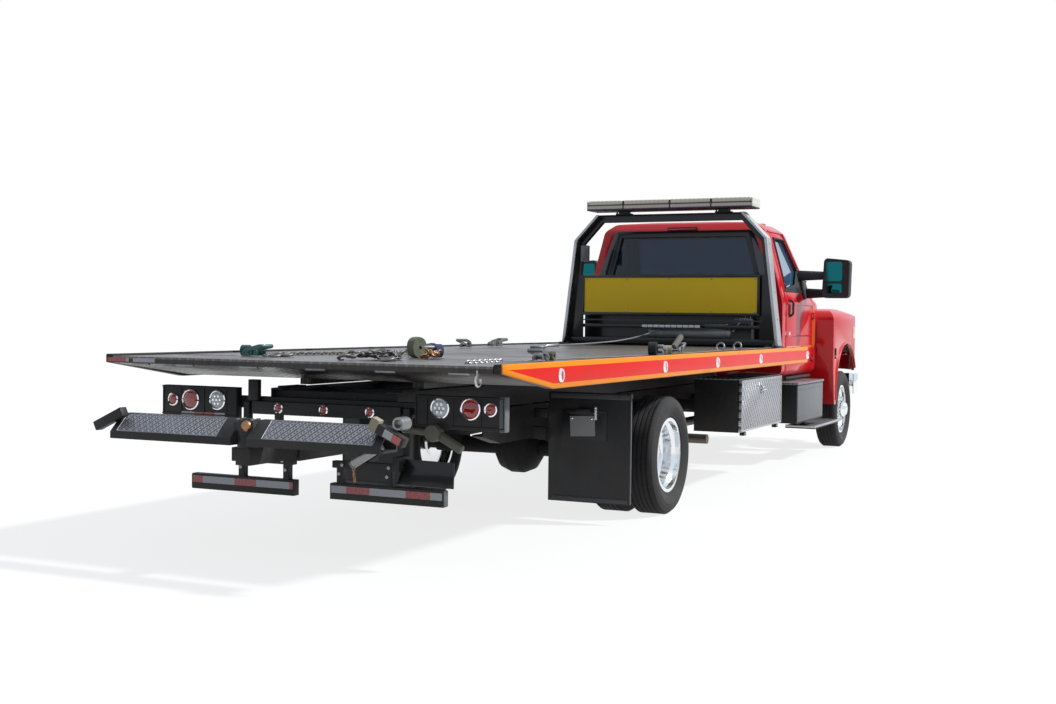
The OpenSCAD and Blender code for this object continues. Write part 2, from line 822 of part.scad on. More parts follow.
module hood_solid(inset) {
    intersection() {
        union() {
            side_plate(-hood_half + inset, hood_half - inset) offset(delta = -inset) hood_outline(inset);
            side_plate(-fender_half + inset, fender_half - inset) offset(delta = -inset) fender_outline(inset);
        }
        linear_extrude(hood_rear_z + 100) offset(delta = -inset) hood_plan();
        front_plate(y_front, hood_rear + 400) offset(delta = -inset) hood_front_outline();
    }
}

module hood() color("#a3161c") {
    lug_x = frame_half - rail_w - 50;
    difference() {
        union() {
            difference() {
                hood_solid(0);
                hood_solid(hood_t);
                for (lift = [0, arch_lift])
                    both() bar_x(arch_r, fender_half - 160, fender_half + 10, axle_f, axle_z + 20 + lift);
                both() block([fender_half - 160, axle_f - arch_r, axle_z + 20],
                    [fender_half + 10, axle_f + arch_r, axle_z + 20 + arch_lift]);
                block([-grille_w / 2, hood_front - 10, grille_z0], [grille_w / 2, hood_front + 60, grille_z1]);
            }
            // hinge lugs
            both() block([lug_x, hood_front + 10, hood_axis_z - 24],
                [lug_x + 30, hood_axis_y + 24, hood_axis_z + 24]);
        }
        bar_x(hood_pin_r + fit, -frame_half, frame_half, hood_axis_y, hood_axis_z);
    }
}

module grille() color("#c9ccd0") {
    depth = 24;
    bar_t = 16;
    bars = 5;
    x = grille_w / 2 - fit;
    z0 = grille_z0 + fit;
    z1 = grille_z1 - fit;
    pitch = (z1 - z0 - bar_t) / (bars + 1);
    difference() {
        block([-x, hood_front, z0], [x, hood_front + depth, z1]);
        block([-x + 25, hood_front - 1, z0 + 25], [x - 25, hood_front + depth + 1, z1 - 25]);
    }
    for (i = [1:bars])
        block([-x + 20, hood_front + 4, z0 + i * pitch], [x - 20, hood_front + depth - 4, z0 + i * pitch + bar_t]);
    for (i = [-2:2])
        block([i * x / 2.6 - 6, hood_front + 6, z0 + 20], [i * x / 2.6 + 6, hood_front + depth - 6, z1 - 20]);
}

// ---- steering knuckles and wheels ----

module knuckle() {
    ear_t = 24;
    gap = 5;
    boss = 30;
    translate([kingpin_x, axle_f, axle_z - boss - gap - ear_t])
        cylinder(r = kingpin_r, h = 2 * (boss + gap + ear_t));
    for (z = [axle_z - boss - gap - ear_t, axle_z + boss + gap]) {
        translate([kingpin_x, axle_f, z]) cylinder(r = 38, h = ear_t);
        block([kingpin_x, axle_f - 30, z], [kingpin_x + 70, axle_f + 30, z + ear_t]);
    }
    block([kingpin_x + 50, axle_f - 45, axle_z - boss - gap - ear_t],
        [kingpin_x + 72, axle_f + 45, axle_z + boss + gap + ear_t]);
    bar_x(front_spindle_r, kingpin_x + 70, front_tyre_x + 70, axle_f, axle_z);
    // steering arm
    block([kingpin_x - 20, axle_f + 20, axle_z - boss - gap - ear_t],
        [kingpin_x + 20, axle_f + 190, axle_z - boss - gap]);
}

module knuckle_left() color("#2b2c2f") knuckle();

module knuckle_right() color("#2b2c2f") mirror([1, 0, 0]) knuckle();

// tyre outline: (radius, offset along the axle)
module tyre_outline() {
    half = tyre_w / 2;
    r = tyre_d / 2;
    low = bead_r + fit;
    polygon([[low, -rim_w / 2 + 6], [low + 14, -rim_w / 2 - 3], [(low + r) / 2 - 20, -half + 4],
        [(low + r) / 2 + 15, -half], [r - 38, -half + 7], [r - 16, -half + 14], [r - 4, -half + 26],
        [r, -half + 42], [r, half - 42], [r - 4, half - 26], [r - 16, half - 14], [r - 38, half - 7],
        [(low + r) / 2 + 15, half], [(low + r) / 2 - 20, half - 4], [low + 14, rim_w / 2 + 3],
        [low, rim_w / 2 - 6]]);
}

module tyre(x, y) {
    turned(x, y, axle_z) tyre_outline();
}

// rim barrel with its two lips: (radius, offset)
module barrel_outline(shift) {
    t = 12;
    half = rim_w / 2;
    translate([0, shift]) polygon([[bead_r - t, -half - 8], [bead_r + 12, -half - 8], [bead_r + 12, -half - 2],
        [bead_r, -half + 4], [bead_r, -half + 30], [bead_r - 22, -half + 55], [bead_r - 22, half - 55],
        [bead_r, half - 30], [bead_r, half - 4], [bead_r + 12, half + 2], [bead_r + 12, half + 8],
        [bead_r - t, half + 8], [bead_r - t, half - 27], [bead_r - 22 - t, half - 50],
        [bead_r - 22 - t, -half + 50], [bead_r - t, -half + 27]]);
}

module hand_holes(x, y, at_r, count) {
    for (i = [0:count - 1])
        translate([x, y, axle_z]) rotate([i * 360 / count, 0, 0]) translate([0, 0, at_r])
            rotate([0, 90, 0]) cylinder(r = 24, h = 120, center = true);
}

module front_rim() {
    bore = front_spindle_r + fit;
    difference() {
        turned(front_tyre_x, axle_f, axle_z) {
            barrel_outline(0);
            // disc, domed outwards
            polygon([[bore, 60], [110, 60], [150, 52], [195, 20], [bead_r - 26, 0], [bead_r - 26, 14],
                [200, 34], [155, 66], [112, 74], [bore, 74]]);
            // hub and brake drum
            polygon([[bore, -60], [190, -60], [190, 20], [176, 20], [176, -46], [90, -46], [90, 61], [bore, 61]]);
            polygon([[0, 76], [85, 76], [85, 120], [60, 150], [0, 155]]);
            polygon([[70, 73], [85, 73], [85, 77], [70, 77]]);
        }
        hand_holes(front_tyre_x + 40, axle_f, 172, 10);
    }
}

module front_rim_left() color("#d9dbdd") front_rim();

module front_rim_right() color("#d9dbdd") mirror([1, 0, 0]) front_rim();

module front_tyre_left() color("#17181a") tyre(front_tyre_x, axle_f);

module front_tyre_right() color("#17181a") mirror([1, 0, 0]) tyre(front_tyre_x, axle_f);

module rear_rims() {
    bore = rear_spindle_r + fit;
    out = rear_outer_x - rear_disc_x;
    in = rear_inner_x - rear_disc_x;
    difference() {
        union() {
            turned(rear_disc_x, axle_r, axle_z) barrel_outline(out);
            turned(rear_disc_x, axle_r, axle_z) barrel_outline(in);
            // two discs back to back
            turned(rear_disc_x, axle_r, axle_z) polygon([[bore, 0], [150, 0], [195, out - 60],
                [bead_r - 26, out - 16], [bead_r - 26, out - 32], [200, out - 76], [160, -2], [bore, -12]]);
            turned(rear_disc_x, axle_r, axle_z) polygon([[bore, -1], [150, -1], [195, in + 60],
                [bead_r - 26, in + 16], [bead_r - 26, in + 32], [202, in + 74], [158, 1], [bore, 2]]);
            // hub, its cap and the brake drum
            turned(rear_disc_x, axle_r, axle_z) polygon([[bore, in - 60], [100, in - 60], [100, 40],
                [88, 55], [bore, 55]]);
            turned(rear_disc_x, axle_r, axle_z) polygon([[0, 62], [80, 50], [88, 50], [88, out - 10],
                [60, out + 6], [0, out + 10]]);
            turned(rear_disc_x, axle_r, axle_z) polygon([[95, in - 50], [200, in - 50], [200, in + 25],
                [188, in + 25], [188, in - 38], [95, in - 38]]);
        }
        hand_holes(rear_disc_x + 40, axle_r, 172, 10);
    }
}

module rear_rims_left() color("#d9dbdd") rear_rims();

module rear_rims_right() color("#d9dbdd") mirror([1, 0, 0]) rear_rims();

module rear_tyres_left() color("#17181a") {
    tyre(rear_outer_x, axle_r);
    tyre(rear_inner_x, axle_r);
}

module rear_tyres_right() color("#17181a") mirror([1, 0, 0]) {
    tyre(rear_outer_x, axle_r);
    tyre(rear_inner_x, axle_r);
}

// ---- tilt frame ----

module tilt_frame() color("#202124") {
    inner = frame_half - tilt_w;
    lug_x = 312;
    lug_r = 52;
    cross_ys = [tilt_front + 60, tilt_front + 760, axle_r - 60, pivot_y - 20, boom_y, tilt_rear - 60];
    both() difference() {
        block([inner, tilt_front, tilt_bottom], [frame_half, tilt_rear, tilt_top]);
        block([inner - 1, tilt_front - 1, tilt_bottom + 10], [frame_half - 10, tilt_rear + 1, tilt_top - 10]);
    }
    for (y = cross_ys)
        block([-frame_half + 10, y - 30, tilt_top - 80], [frame_half - 10, y + 30, tilt_top - 12]);
    // hinge lugs around the chassis tube
    both() difference() {
        union() {
            side_plate(lug_x, lug_x + 32) polygon([[pivot_y - lug_r, pivot_z - 30],
                [pivot_y - 30, pivot_z - lug_r], [pivot_y + 30, pivot_z - lug_r],
                [pivot_y + lug_r, pivot_z - 30], [pivot_y + lug_r + 30, tilt_top - 20],
                [pivot_y - lug_r - 30, tilt_top - 20]]);
            block([lug_x, pivot_y - lug_r - 30, tilt_bottom], [frame_half - 5, pivot_y + lug_r + 30, tilt_bottom + 30]);
        }
        bar_x(pivot_r + fit, lug_x - 1, lug_x + 40, pivot_y, pivot_z);
    }
    // eye pins of the tilt cylinders
    both() bar_x(ram_pin_r, ram_x - 50, frame_half - 5, ram_eye_y, ram_eye_z);
    // wear pads under the bed
    both() for (y = [tilt_front + 40, axle_r - 200, tilt_rear - 260])
        block([inner + 5, y, tilt_top], [frame_half - 5, y + 200, tilt_top + pad_t]);
    // lift pivot: lugs and pin
    both() block([boom_w / 2 + 6, boom_y - 50, boom_z - 45], [boom_w / 2 + 26, boom_y + 50, tilt_top - 70]);
    bar_x(lift_pin_r, -boom_w / 2 - 26, boom_w / 2 + 26, boom_y, boom_z);
    // saddles of the slide cylinder
    for (y = [tilt_front + 60, tilt_front + 760, axle_r - 60])
        block([-30, y - 25, tilt_top - 13], [30, y + 25, slide_z - slide_barrel_r - fit]);
}

module tail_frame() color("#1b1c1f") {
    beam_y = tilt_rear;
    panel_y = tilt_rear + 50;
    guard_y = bed_tail - 275;
    block([-1130, beam_y, 830], [1130, panel_y, 900]);
    // lamp panels and the middle lamp beam
    both() block([600, panel_y, 767], [1150, panel_y + 50, 950]);
    block([-500, panel_y, 800], [500, panel_y + 40, 875]);
    both() {
        // guard bars
        block([120, guard_y, 355], [840, guard_y + 50, 445]);
        for (x = [160, 470]) block([x, guard_y + 5, 445], [x + 40, guard_y + 45, 530]);
        block([130, guard_y + 5, 530], [560, guard_y + 45, 570]);
        for (x = [300, 520]) block([x, panel_y, 570], [x + 40, guard_y + 45, 610]);
        for (x = [300, 520]) block([x, panel_y, 570], [x + 40, panel_y + 40, 870]);
    }
}

// tilt cylinder laid along +Y from the origin, turned and placed by its user
module place_ram() {
    translate([0, ram_base_y, ram_base_z]) rotate([ram_angle, 0, 0]) children();
}

module tilt_barrels() color("#2e2f33") both() place_ram() difference() {
    union() {
        translate([ram_x, 60, 0]) rotate([-90, 0, 0]) cylinder(r = ram_barrel_r, h = ram_barrel_len - 60);
        bar_x(42, ram_x - 30, ram_x + 30, 0, 0);
        block([ram_x - 30, 0, -35], [ram_x + 30, 70, 35]);
    }
    bar_x(ram_pin_r + fit, ram_x - 80, ram_x + 80, 0, 0);
    translate([ram_x, 90, 0]) rotate([-90, 0, 0]) cylinder(r = ram_rod_r + fit, h = ram_barrel_len);
}

module tilt_rods() color("#c7c9cb") both() place_ram() difference() {
    union() {
        translate([ram_x, 320, 0]) rotate([-90, 0, 0]) cylinder(r = ram_rod_r, h = ram_len - 328 - ram_eye_bore);
        bar_x(ram_eye_bore + 18, ram_x - 34, ram_x + 34, ram_len, 0);
    }
    bar_x(ram_eye_bore, ram_x - 60, ram_x + 60, ram_len, 0);
}

module slide_barrel() color("#2e2f33") difference() {
    translate([0, slide_start, slide_z]) rotate([-90, 0, 0]) cylinder(r = slide_barrel_r, h = slide_len);
    translate([0, slide_start + 30, slide_z]) rotate([-90, 0, 0]) cylinder(r = slide_rod_r + fit, h = slide_len);
}

module slide_rod() color("#c7c9cb") {
    eye_y = slide_start + slide_len + 60;
    translate([0, slide_start + 60, slide_z]) rotate([-90, 0, 0]) cylinder(r = slide_rod_r, h = slide_len);
    block([-45, eye_y - 20, tilt_top + 8], [45, eye_y + 20, joist_bottom]);
}

// ---- bed ----

module bed_deck() color("#5e5a55") {
    side = bed_half - side_rail_w;
    tail_start = bed_tail - tail_taper - 20;
    joists = floor((tail_start - bed_front - 100) / 400);
    pitch = (tail_start - bed_front - 100) / joists;
    block([-side, bed_front, deck_top - deck_t], [side, bed_tail, deck_top]);
    for (i = [0:joists])
        block([-side, bed_front + 20 + i * pitch, joist_bottom], [side, bed_front + 70 + i * pitch, deck_top - deck_t]);
    both() block([frame_half - tilt_w, bed_front + 60, runner_bottom], [frame_half, runner_rear, joist_bottom]);
    // joist that takes the slide cylinder's eye
    block([-300, slide_start + slide_len + 30, joist_bottom], [300, slide_start + slide_len + 90, deck_top - deck_t]);
    // tail: sloped underside, its ribs and the end walls
    side_plate(-side, side) polygon([[tail_start, rail_bottom + 10], [bed_tail, deck_height - tail_edge],
        [bed_tail, deck_height - tail_edge + 10], [tail_start, rail_bottom + 20]]);
    for (x = [-side:side / 3:side])
        side_plate(x - (x > 0 ? 10 : 0), x + (x > 0 ? 0 : 10)) polygon([[tail_start, rail_bottom + 15],
            [bed_tail, deck_height - tail_edge + 5], [bed_tail, deck_top - 4], [tail_start, deck_top - 4]]);
    block([-side, bed_tail - 14, deck_height - tail_edge], [side, bed_tail, deck_top]);
    block([-side, tail_start - 8, rail_bottom + 10], [side, tail_start + 4, deck_top - 4]);
}

module bed_rails() color("#b3121a") {
    both() side_plate(bed_half - side_rail_w, bed_half) polygon([
        [bed_front, rail_bottom], [bed_tail - tail_taper, rail_bottom],
        [bed_tail, deck_height - tail_edge], [bed_tail, deck_height], [bed_front, deck_height]]);
}

module headboard() color("#18191b") {
    sign_z0 = 1450;
    sign_z1 = 1790;
    front_plate(board_y - board_t / 2, board_y + board_t / 2) difference() {
        headboard_outline();
        offset(delta = -post_w) headboard_outline();
    }
    // crosspieces and the blank sign board
    front_plate(board_y - 20, board_y + 20) intersection() {
        union() {
            translate([-board_half, sign_z0 - 30]) square([headboard_w, sign_z1 - sign_z0 + 60]);
            translate([-board_half, 1300]) square([headboard_w, 35]);
        }
        offset(delta = -post_w + 5) headboard_outline();
    }
    // braces on the deck
    both() block([board_half - 70, board_y + 30, deck_top], [board_half - 10, board_y + 110, deck_top + 12]);
}

module headboard_outline() {
    polygon([[-board_half, deck_top], [-board_half + bend_in, bend_z], [-top_half, board_top],
        [top_half, board_top], [board_half - bend_in, bend_z], [board_half, deck_top]]);
}

module light_bar() color("#e9e0c4") {
    half = 840;
    depth = 280;
    low = board_top + 36;
    top = board_top + 134;
    translate([0, board_y + depth / 2, 0]) rotate([90, 0, 0]) linear_extrude(depth)
        offset(r = 25, $fn = 24) offset(delta = -25) polygon([[-half, low], [-half, top], [half, top], [half, low]]);
    for (x = [-540, 540]) block([x - 70, board_y - 40, board_top], [x + 70, board_y + 40, low + 2]);
}

module winch() color("#23262c") {
    block([-800, winch_y - 75, deck_top], [240, winch_y + 75, deck_top + 12]);
    difference() {
        for (x = [drum_x0 - 26, drum_x1 + 6])
            block([x, winch_y - 70, deck_top + 12], [x + 20, winch_y + 70, winch_z + 80]);
        bar_x(drum_shaft_r + fit, drum_x0 - 40, drum_x1 + 40, winch_y, winch_z);
    }
    // gearbox and motor
    block([-800, winch_y - 70, deck_top + 12], [drum_x0 - 60, winch_y + 70, winch_z + 55]);
    block([drum_x0 - 62, winch_y - 50, deck_top + 12], [drum_x0 - 20, winch_y + 50, winch_z - 40]);
}

module winch_drum() color("#6d6a66") {
    bar_x(drum_r, drum_x0, drum_x1, winch_y, winch_z);
    for (x = [drum_x0, drum_x1 - 12]) bar_x(drum_flange_r, x, x + 12, winch_y, winch_z);
    bar_x(drum_shaft_r, drum_x0 - 30, drum_x1 + 30, winch_y, winch_z);
}

// ---- wheel lift ----

module lift_boom() color("#232427") {
    half = boom_w / 2;
    slot = stinger_w / 2 + 5;
    difference() {
        block([-half, boom_y - 50, boom_z - half], [half, boom_rear, boom_z + half]);
        block([-slot, boom_y + 60, boom_z - slot], [slot, boom_rear + 1, boom_z + slot]);
        bar_x(lift_pin_r + fit, -half - 1, half + 1, boom_y, boom_z);
    }
    // wear ring at the mouth
    difference() {
        block([-slot - 2, boom_rear - 80, boom_z - slot - 2], [slot + 2, boom_rear, boom_z + slot + 2]);
        block([-stinger_w / 2 - fit, boom_rear - 81, boom_z - stinger_w / 2 - fit],
            [stinger_w / 2 + fit, boom_rear + 1, boom_z + stinger_w / 2 + fit]);
    }
}

module lift_stinger() color("#5b5d60") {
    half = stinger_w / 2;
    start = boom_y + 80;
    end = bar_y + 50;
    slot = half + 5 - fit;
    difference() {
        union() {
            block([-half, start, boom_z - half], [half, end, boom_z + half]);
            block([-slot, start, boom_z - slot], [slot, start + 80, boom_z + slot]);
        }
        block([-half + 10, start - 1, boom_z - half + 10], [half - 10, bar_y - 60, boom_z + half - 10]);
    }
    translate([0, bar_y, boom_z]) cylinder(r = swivel_r, h = bar_top + 6 - boom_z);
}

module lift_crossbar() color("#8b8d90") {
    hub_low = boom_z + stinger_w / 2 + fit;
    difference() {
        union() {
            translate([0, bar_y, hub_low]) cylinder(r = 58, h = bar_top - hub_low);
            block([-bar_gap / 2 - 12, bar_y - 45, bar_bottom + 10], [bar_gap / 2 + 12, bar_y + 45, bar_top - 10]);
        }
        translate([0, bar_y, boom_z]) cylinder(r = swivel_r + fit, h = 300);
    }
    both() difference() {
        side_plate(bar_gap / 2, crossbar_w / 2) arm_outline();
        side_plate(bar_gap / 2 + 12, crossbar_w / 2 + 1) offset(delta = -12) arm_outline();
    }
}

module arm_outline() {
    polygon([[bar_y - 80, bar_bottom], [bar_y + 90, bar_bottom], [bar_y + 90, bar_bottom + 38],
        [bar_y - 5, bar_top], [bar_y - 80, bar_top]]);
}

// ---- what is drawn ----
chassis_frame();
front_axle();
rear_axle();
leaf_springs();
engine();
exhaust();
step_boxes();
tool_boxes();
mud_flaps();
front_bumper();
cab_shell();
cab_glass();
seats();
dashboard();
steering_wheel();
tool_door_left();
tool_door_right();
door_left();
door_right();
door_glass_left();
door_glass_right();
mirror_left();
mirror_right();
hood();
grille();
knuckle_left();
knuckle_right();
front_rim_left();
front_rim_right();
front_tyre_left();
front_tyre_right();
rear_rims_left();
rear_rims_right();
rear_tyres_left();
rear_tyres_right();
tilt_frame();
tail_frame();
tilt_barrels();
tilt_rods();
slide_barrel();
slide_rod();
bed_deck();
bed_rails();
headboard();
light_bar();
winch();
winch_drum();
lift_boom();
lift_stinger();
lift_crossbar();
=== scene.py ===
import json
import math
import random

import bpy
from mathutils import Matrix, Vector


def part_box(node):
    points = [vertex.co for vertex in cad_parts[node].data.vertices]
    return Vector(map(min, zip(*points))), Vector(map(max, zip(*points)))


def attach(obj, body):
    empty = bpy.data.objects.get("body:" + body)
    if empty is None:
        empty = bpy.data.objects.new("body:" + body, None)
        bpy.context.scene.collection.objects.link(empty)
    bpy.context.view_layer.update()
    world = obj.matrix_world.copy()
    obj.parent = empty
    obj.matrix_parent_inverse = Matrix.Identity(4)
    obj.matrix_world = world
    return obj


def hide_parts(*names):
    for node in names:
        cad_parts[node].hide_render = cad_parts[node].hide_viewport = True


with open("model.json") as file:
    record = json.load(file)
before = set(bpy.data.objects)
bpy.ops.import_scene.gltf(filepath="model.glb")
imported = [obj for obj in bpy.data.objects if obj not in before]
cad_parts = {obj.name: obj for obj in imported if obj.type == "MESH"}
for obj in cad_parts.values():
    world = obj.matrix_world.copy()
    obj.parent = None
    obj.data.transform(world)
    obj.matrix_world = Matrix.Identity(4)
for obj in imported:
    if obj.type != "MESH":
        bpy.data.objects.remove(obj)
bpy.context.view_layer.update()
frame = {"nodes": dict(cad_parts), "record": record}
nodes = frame["nodes"]
nodeBody = {node: body for body, names in frame["record"]["behaviour"]["bodies"].items() for node in names}
bodyNames = set(nodeBody.values())
bedLow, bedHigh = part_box("bed_rails")
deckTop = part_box("bed_deck")[1].z
print("frame loaded:", len(nodes), "nodes")


# shader maths

class Wire:
    # one output socket, with arithmetic that adds Math nodes
    def __init__(self, tree, socket):
        self.tree = tree
        self.socket = socket

    def maths(self, operation, *others, swapped=False):
        values = list(others) + [self] if swapped else [self] + list(others)
        node = self.tree.nodes.new("ShaderNodeMath")
        node.operation = operation
        for slot, value in zip(node.inputs, values):
            if isinstance(value, Wire):
                self.tree.links.new(value.socket, slot)
            else:
                slot.default_value = value
        return Wire(self.tree, node.outputs[0])

    def __add__(self, other):
        return self.maths("ADD", other)

    __radd__ = __add__

    def __sub__(self, other):
        return self.maths("SUBTRACT", other)

    def __rsub__(self, other):
        return self.maths("SUBTRACT", other, swapped=True)

    def __mul__(self, other):
        return self.maths("MULTIPLY", other)

    def __truediv__(self, other):
        return self.maths("DIVIDE", other)

    def __gt__(self, other):
        return self.maths("GREATER_THAN", other)

    def __lt__(self, other):
        return self.maths("LESS_THAN", other)

    def __abs__(self):
        return self.maths("ABSOLUTE")

    def repeat(self, pitch):                # sawtooth from 0 to 1 every pitch
        return (self / pitch).maths("FRACT")

    def most(self, other):
        return self.maths("MAXIMUM", other)

    def ramp(self, low, high):              # 0 at low, 1 at high, clamped
        node = self.tree.nodes.new("ShaderNodeMapRange")
        self.tree.links.new(self.socket, node.inputs["Value"])
        node.inputs["From Min"].default_value = low
        node.inputs["From Max"].default_value = high
        return Wire(self.tree, node.outputs[0])


class Tree:
    # a node tree, with helpers that add nodes to it
    def __init__(self, tree):
        self.tree = tree

    def put(self, slot, value):
        if isinstance(value, Wire):
            self.tree.links.new(value.socket, slot)
        elif isinstance(value, (tuple, list)) and len(value) == 3 and slot.type == "RGBA":
            slot.default_value = (*value, 1)
        else:
            slot.default_value = value

    def node(self, kind, settings=None, values=None, out=0):
        node = self.tree.nodes.new("ShaderNode" + kind)
        for key, value in (settings or {}).items():
            setattr(node, key, value)
        for key, value in (values or {}).items():
            self.put(node.inputs[key], value)
        return Wire(self.tree, node.outputs[out])

    def place(self, scale=None):
        spot = self.node("TexCoord", out=3)
        return self.node("Mapping", None, {"Vector": spot, "Scale": scale}) if scale else spot

    def axes(self):
        split = self.tree.nodes.new("ShaderNodeSeparateXYZ")
        self.tree.links.new(self.place().socket, split.inputs[0])
        return [Wire(self.tree, split.outputs[i]) for i in range(3)]

    def noise(self, fine, detail=3.0, rough=0.55, scale=None):
        values = {"Vector": self.place(scale), "Scale": fine, "Detail": detail, "Roughness": rough}
        return self.node("TexNoise", None, values)

    def mix(self, factor, first, second):
        return self.node("Mix", {"data_type": "RGBA"}, {0: factor, 6: first, 7: second}, out=2)


class Finish(Tree):
    # a material on the Principled shader
    def __init__(self, name, colour, roughness=0.5, metallic=0.0, **fixed):
        self.material = bpy.data.materials.new(name)
        self.material.use_nodes = True
        super().__init__(self.material.node_tree)
        self.shader = self.tree.nodes["Principled BSDF"]
        self.feed("Base Color", colour)
        self.feed("Roughness", roughness)
        self.feed("Metallic", metallic)
        for socket, value in fixed.items():
            self.feed(socket.replace("_", " "), value)
        self.material.diffuse_color = (*colour, 1)

    def feed(self, socket, value):
        self.put(self.shader.inputs[socket], value)

    def bump(self, height, strength=0.3, distance=0.002):
        values = {"Height": height, "Strength": strength, "Distance": distance}
        self.feed("Normal", self.node("Bump", None, values))


def shade(colour, amount):
    return tuple(min(1.0, c * amount) for c in colour)


# finishes

def plainPaint(name, colour, roughness=0.35, coat=0.6, dust=0.25, peel=0.05, gloss=0.5):
    paint = Finish(name, colour, roughness, Specular_IOR_Level=gloss)
    grime = paint.noise(2.2, 5.0).ramp(0.42, 0.75)
    speck = paint.noise(38.0, 4.0).ramp(0.5, 0.72)
    low = 1 - paint.axes()[2].ramp(0.3, 1.3)
    dirt = (grime * 0.6 + speck * 0.25 + low * 0.35) * dust
    paint.feed("Base Color", paint.mix(dirt, colour, (0.23, 0.2, 0.17)))
    paint.feed("Roughness", dirt * 0.6 + roughness)
    paint.feed("Coat Weight", coat - dirt * 0.5)
    paint.feed("Coat Roughness", 0.06)
    paint.bump(paint.noise(420.0, 2.0), peel, 0.0006)
    return paint


def paintedMetal(name, colour, roughness=0.5, dust=0.22):
    return plainPaint(name, colour, roughness, coat=0.05, dust=dust, peel=0.12, gloss=0.3)


def diamondHeight(finish, pitch, across="z"):
    # raised lozenges in two crossing directions, on the plane that leaves out one axis
    x, y, z = finish.axes()
    u, v = (x, y) if across == "z" else (y, z)
    height = None
    for sign in (1, -1):
        along = u * 0.7071 + v * (0.7071 * sign)
        over = v * 0.7071 - u * (0.7071 * sign)
        cellA = along.repeat(pitch) - 0.5
        cellB = (over / (pitch * 0.5) + (0.5 if sign < 0 else 0.0)).maths("FRACT") - 0.5
        bar = 1 - (abs(cellA) * 2.6).most(abs(cellB) * 4.2)
        bar = bar.ramp(0.0, 0.35)
        height = bar if height is None else height.most(bar)
    return height


def treadSteel(name, colour, pitch=0.034, across="z", metallic=0.5, roughness=0.42, rust=0.5, shine=2.0):
    steel = Finish(name, colour, roughness, metallic)
    pattern = diamondHeight(steel, pitch, across)
    patches = steel.noise(1.3, 6.0, 0.62).ramp(0.4, 0.68)
    streaks = steel.noise(6.0, 4.0, 0.6, scale=(1.0, 0.12, 1.0)).ramp(0.45, 0.7)
    worn = steel.mix(patches * rust, colour, (0.13, 0.085, 0.055))
    worn = steel.mix(streaks * 0.35, worn, shade(colour, 1.6))
    # the raised lozenges are lightened by shine: a painted highlight where their tops catch the light
    steel.feed("Base Color", steel.mix(pattern * (0.2 + shine * 0.12), worn, shade(colour, shine)))
    steel.feed("Roughness", patches * 0.25 + (roughness - 0.05) - pattern * 0.12)
    steel.bump(pattern, 0.8, 0.002)
    return steel


def deckSteel(name):
    # tread plate above, black paint on the edges and all that hangs under the plate
    deck = treadSteel(name, (0.13, 0.115, 0.105), 0.042)
    plate = deck.axes()[2] > deckTop - 0.012
    # worn is the whole tread colour from treadSteel: rust patches and streaks, with the painted highlight on
    # the raised lozenges
    worn = Wire(deck.tree, deck.shader.inputs["Base Color"].links[0].from_socket)
    rust = deck.mix(deck.noise(5.0, 5.0).ramp(0.45, 0.7), (0.014, 0.013, 0.013), (0.05, 0.032, 0.022))
    deck.feed("Base Color", deck.mix(plate, rust, worn))
    deck.feed("Metallic", plate * 0.5)
    return deck


def bareMetal(name, colour, roughness=0.3, grain=0.15, dull=0.0):
    metal = Finish(name, colour, roughness, 1.0)
    lines = metal.noise(60.0, 3.0, 0.6, scale=(1, 0.08, 1))
    stain = metal.noise(3.0, 5.0).ramp(0.4, 0.75)
    metal.feed("Base Color", metal.mix(stain * dull, colour, shade(colour, 0.35)))
    metal.feed("Roughness", lines * grain + stain * (0.2 * dull) + roughness)
    metal.bump(lines, 0.08, 0.0005)
    return metal


def rubberSkin(name, colour, roughness=0.75, dust=0.3):
    rubber = Finish(name, colour, roughness)
    film = rubber.noise(5.0, 6.0, 0.6).ramp(0.4, 0.75)
    rubber.feed("Base Color", rubber.mix(film * dust, colour, (0.16, 0.14, 0.12)))
    rubber.feed("Roughness", roughness + film * 0.15)
    rubber.bump(rubber.noise(180.0, 3.0), 0.25, 0.0008)
    return rubber


def grainedPlastic(name, colour):
    roughness, grain = 0.55, 240.0
    plastic = Finish(name, colour, roughness)
    cells = plastic.node("TexVoronoi", None, {"Vector": plastic.place(), "Scale": grain})
    plastic.feed("Roughness", cells * 0.12 + roughness)
    plastic.feed("Base Color", plastic.mix(plastic.noise(4.0, 4.0) * 0.35, colour, shade(colour, 1.7)))
    plastic.bump(cells, 0.2, 0.0004)
    return plastic


def lens(name, colour, ribs):
    glassy = Finish(name, colour, 0.08, Coat_Weight=1.0, Coat_Roughness=0.03)
    x, _, z = glassy.axes()
    cells = (abs(x.repeat(ribs) - 0.5)).most(abs(z.repeat(ribs) - 0.5))
    glassy.feed("Base Color", glassy.mix(cells.ramp(0.1, 0.5), shade(colour, 1.12), shade(colour, 0.88)))
    glassy.bump(cells, 0.25, 0.001)
    return glassy


def tintedGlass(name, colour):
    roughness = 0.02
    pane = Finish(name, colour, roughness, Transmission_Weight=1.0, IOR=1.45)
    film = pane.noise(3.0, 5.0).ramp(0.5, 0.8)
    pane.feed("Roughness", film * 0.05 + roughness)
    return pane


def webbing(name, colour):
    cloth = Finish(name, colour, 0.85)
    x, y, _ = cloth.axes()
    weave = (x.repeat(0.004) - 0.5) * (y.repeat(0.004) - 0.5)
    cloth.feed("Base Color", cloth.mix(cloth.noise(14.0, 5.0), shade(colour, 0.7), shade(colour, 1.25)))
    cloth.bump(weave, 0.6, 0.0015)
    return cloth


def stripedTape(name):
    pitch, split = 0.38, 0.4                # length of a red and a white stretch, the red one's share
    tape = Finish(name, (0.6, 0.02, 0.03), 0.3, Coat_Weight=0.6)
    red = tape.axes()[0].repeat(pitch) < split
    cells = tape.node("TexVoronoi", None, {"Vector": tape.place(), "Scale": 160.0})
    colour = tape.mix(red, (0.42, 0.43, 0.46), (0.4, 0.006, 0.012))
    tape.feed("Base Color", tape.mix(cells.ramp(0.3, 0.8) * 0.12, colour, (0.9, 0.85, 0.85)))
    return tape


